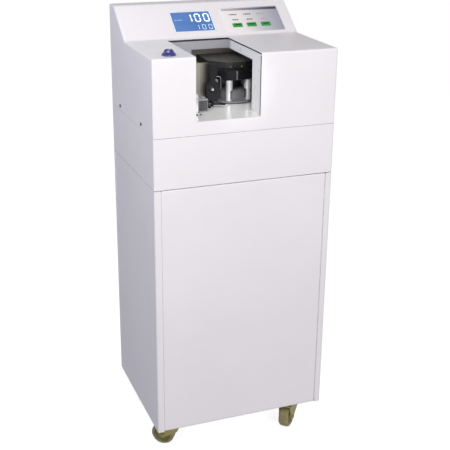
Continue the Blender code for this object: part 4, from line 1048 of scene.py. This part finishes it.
def studio_floor():
    """A wide pale floor, which lights the machine no more than the surroundings do."""
    half = 30
    mesh = bpy.data.meshes.new("studio_floor")
    corners = [(-half, -half, 0), (half, -half, 0), (half, half, 0), (-half, half, 0)]
    mesh.from_pydata(corners, [], [(0, 1, 2, 3)])
    finish = Finish("floor_white", (0.93, 0.93, 0.93), 0.85)
    finish.colours(finish.noise(2, 3), (0.3, (0.92, 0.92, 0.925)), (0.7, (0.94, 0.94, 0.94)))
    finish.set(Emission_Color=(1, 1, 1, 1), Emission_Strength=0.62)
    mesh.materials.append(finish.material)
    floor = bpy.data.objects.new("studio_floor", mesh)
    bpy.context.scene.collection.objects.link(floor)
    floor.visible_diffuse = floor.visible_glossy = False


def surroundings():
    """Soft light from all round: bluish from the left, warm from above, dimmer from below."""
    world = bpy.data.worlds.new("studio_world")
    world.use_nodes = True
    tree = world.node_tree
    direction = add_node(tree, "TexCoord").outputs["Generated"]
    split = add_node(tree, "SeparateXYZ", Vector=direction)
    rgba = {"data_type": "RGBA"}
    total = None
    for axis, low, high in WORLD_TONES:
        share = add_node(tree, "MapRange", Value=split.outputs[axis], From_Min=-1).outputs["Result"]
        mix = add_node(tree, "Mix", rgba, Factor=share, A=(*low, 1), B=(*high, 1)).outputs["Result"]
        if total:
            adding = rgba | {"blend_type": "ADD"}
            mix = add_node(tree, "Mix", adding, Factor=1, A=total, B=mix).outputs["Result"]
        total = mix
    seen = add_node(tree, "LightPath").outputs["Is Camera Ray"]
    backdrop = add_node(tree, "Mix", rgba, Factor=seen, A=total, B=(1, 1, 1, 1))
    tree.links.new(backdrop.outputs["Result"], tree.nodes["Background"].inputs["Color"])
    bpy.context.scene.world = world
    bpy.context.scene.view_settings.view_transform = "Standard"


def lamp(name, kind, at, aim, power, colour, **settings):
    """A lamp that looks at a point."""
    data = bpy.data.lights.new(name, kind)
    for key, value in {"energy": power, "color": colour, **settings}.items():
        setattr(data, key, value)
    made = bpy.data.objects.new(name, data)
    bpy.context.scene.collection.objects.link(made)
    made.location = at
    made.rotation_euler = (Vector(aim) - Vector(at)).to_track_quat("-Z", "Y").to_euler()


def lamps():
    """Three soft boxes, and a narrow beam into the bay."""
    for name, at, aim, (width, height), power, colour in (
        ("key", (0.35, -2.0, 1.3), (0.05, -0.18, 0.85), (1, 0.8), 6.8, (1, 0.97, 0.99)),
        ("overhead", (-0.72, -1.32, 1.85), (0, -0.1, 0.95), (0.6, 0.5), 14.3, (1, 0.98, 0.93)),
        ("left", (-1.05, -0.2, 1.55), (-0.22, 0, 0.95), (0.5, 0.5), 3.2, (0.8, 0.87, 1)),
    ):
        lamp(name, "AREA", at, aim, power, colour, shape="RECTANGLE", size=width, size_y=height)
    lamp("bay_snoot", "SPOT", (-0.25, -1.05, 1.62), (-0.006, -0.098, 0.9), 30, (0.95, 0.98, 1),
         spot_size=radians(7), spot_blend=0.6, shadow_soft_size=0.05)


def camera():
    """The reference viewpoint: about 21 degrees to the left of the front and 21 above."""
    data = bpy.data.cameras.new("camera")
    data.sensor_width = 36
    data.lens = 74.9
    made = bpy.data.objects.new("camera", data)
    bpy.context.scene.collection.objects.link(made)
    heading, pitch, roll = radians(21.142), radians(21.261), radians(0.634)
    forward = Vector((sin(heading) * cos(pitch), cos(heading) * cos(pitch), -sin(pitch)))
    made.rotation_mode = "QUATERNION"
    level = forward.to_track_quat("-Z", "Y")
    made.rotation_quaternion = level @ Matrix.Rotation(roll, 3, "Z").to_quaternion()
    made.location = (-0.7976, -2.1089, 1.4198)
    bpy.context.scene.camera = made


for step in (dress_nodes, display, keypad, knob, bay_hardware, spindle_skins, bracket_details,
             turret_hardware, cover_screws, castor_hardware, rear_fittings, pump_details, power_supply,
             air_fittings, wiring, door_fittings, studio_floor, surroundings, lamps, camera):
    step()
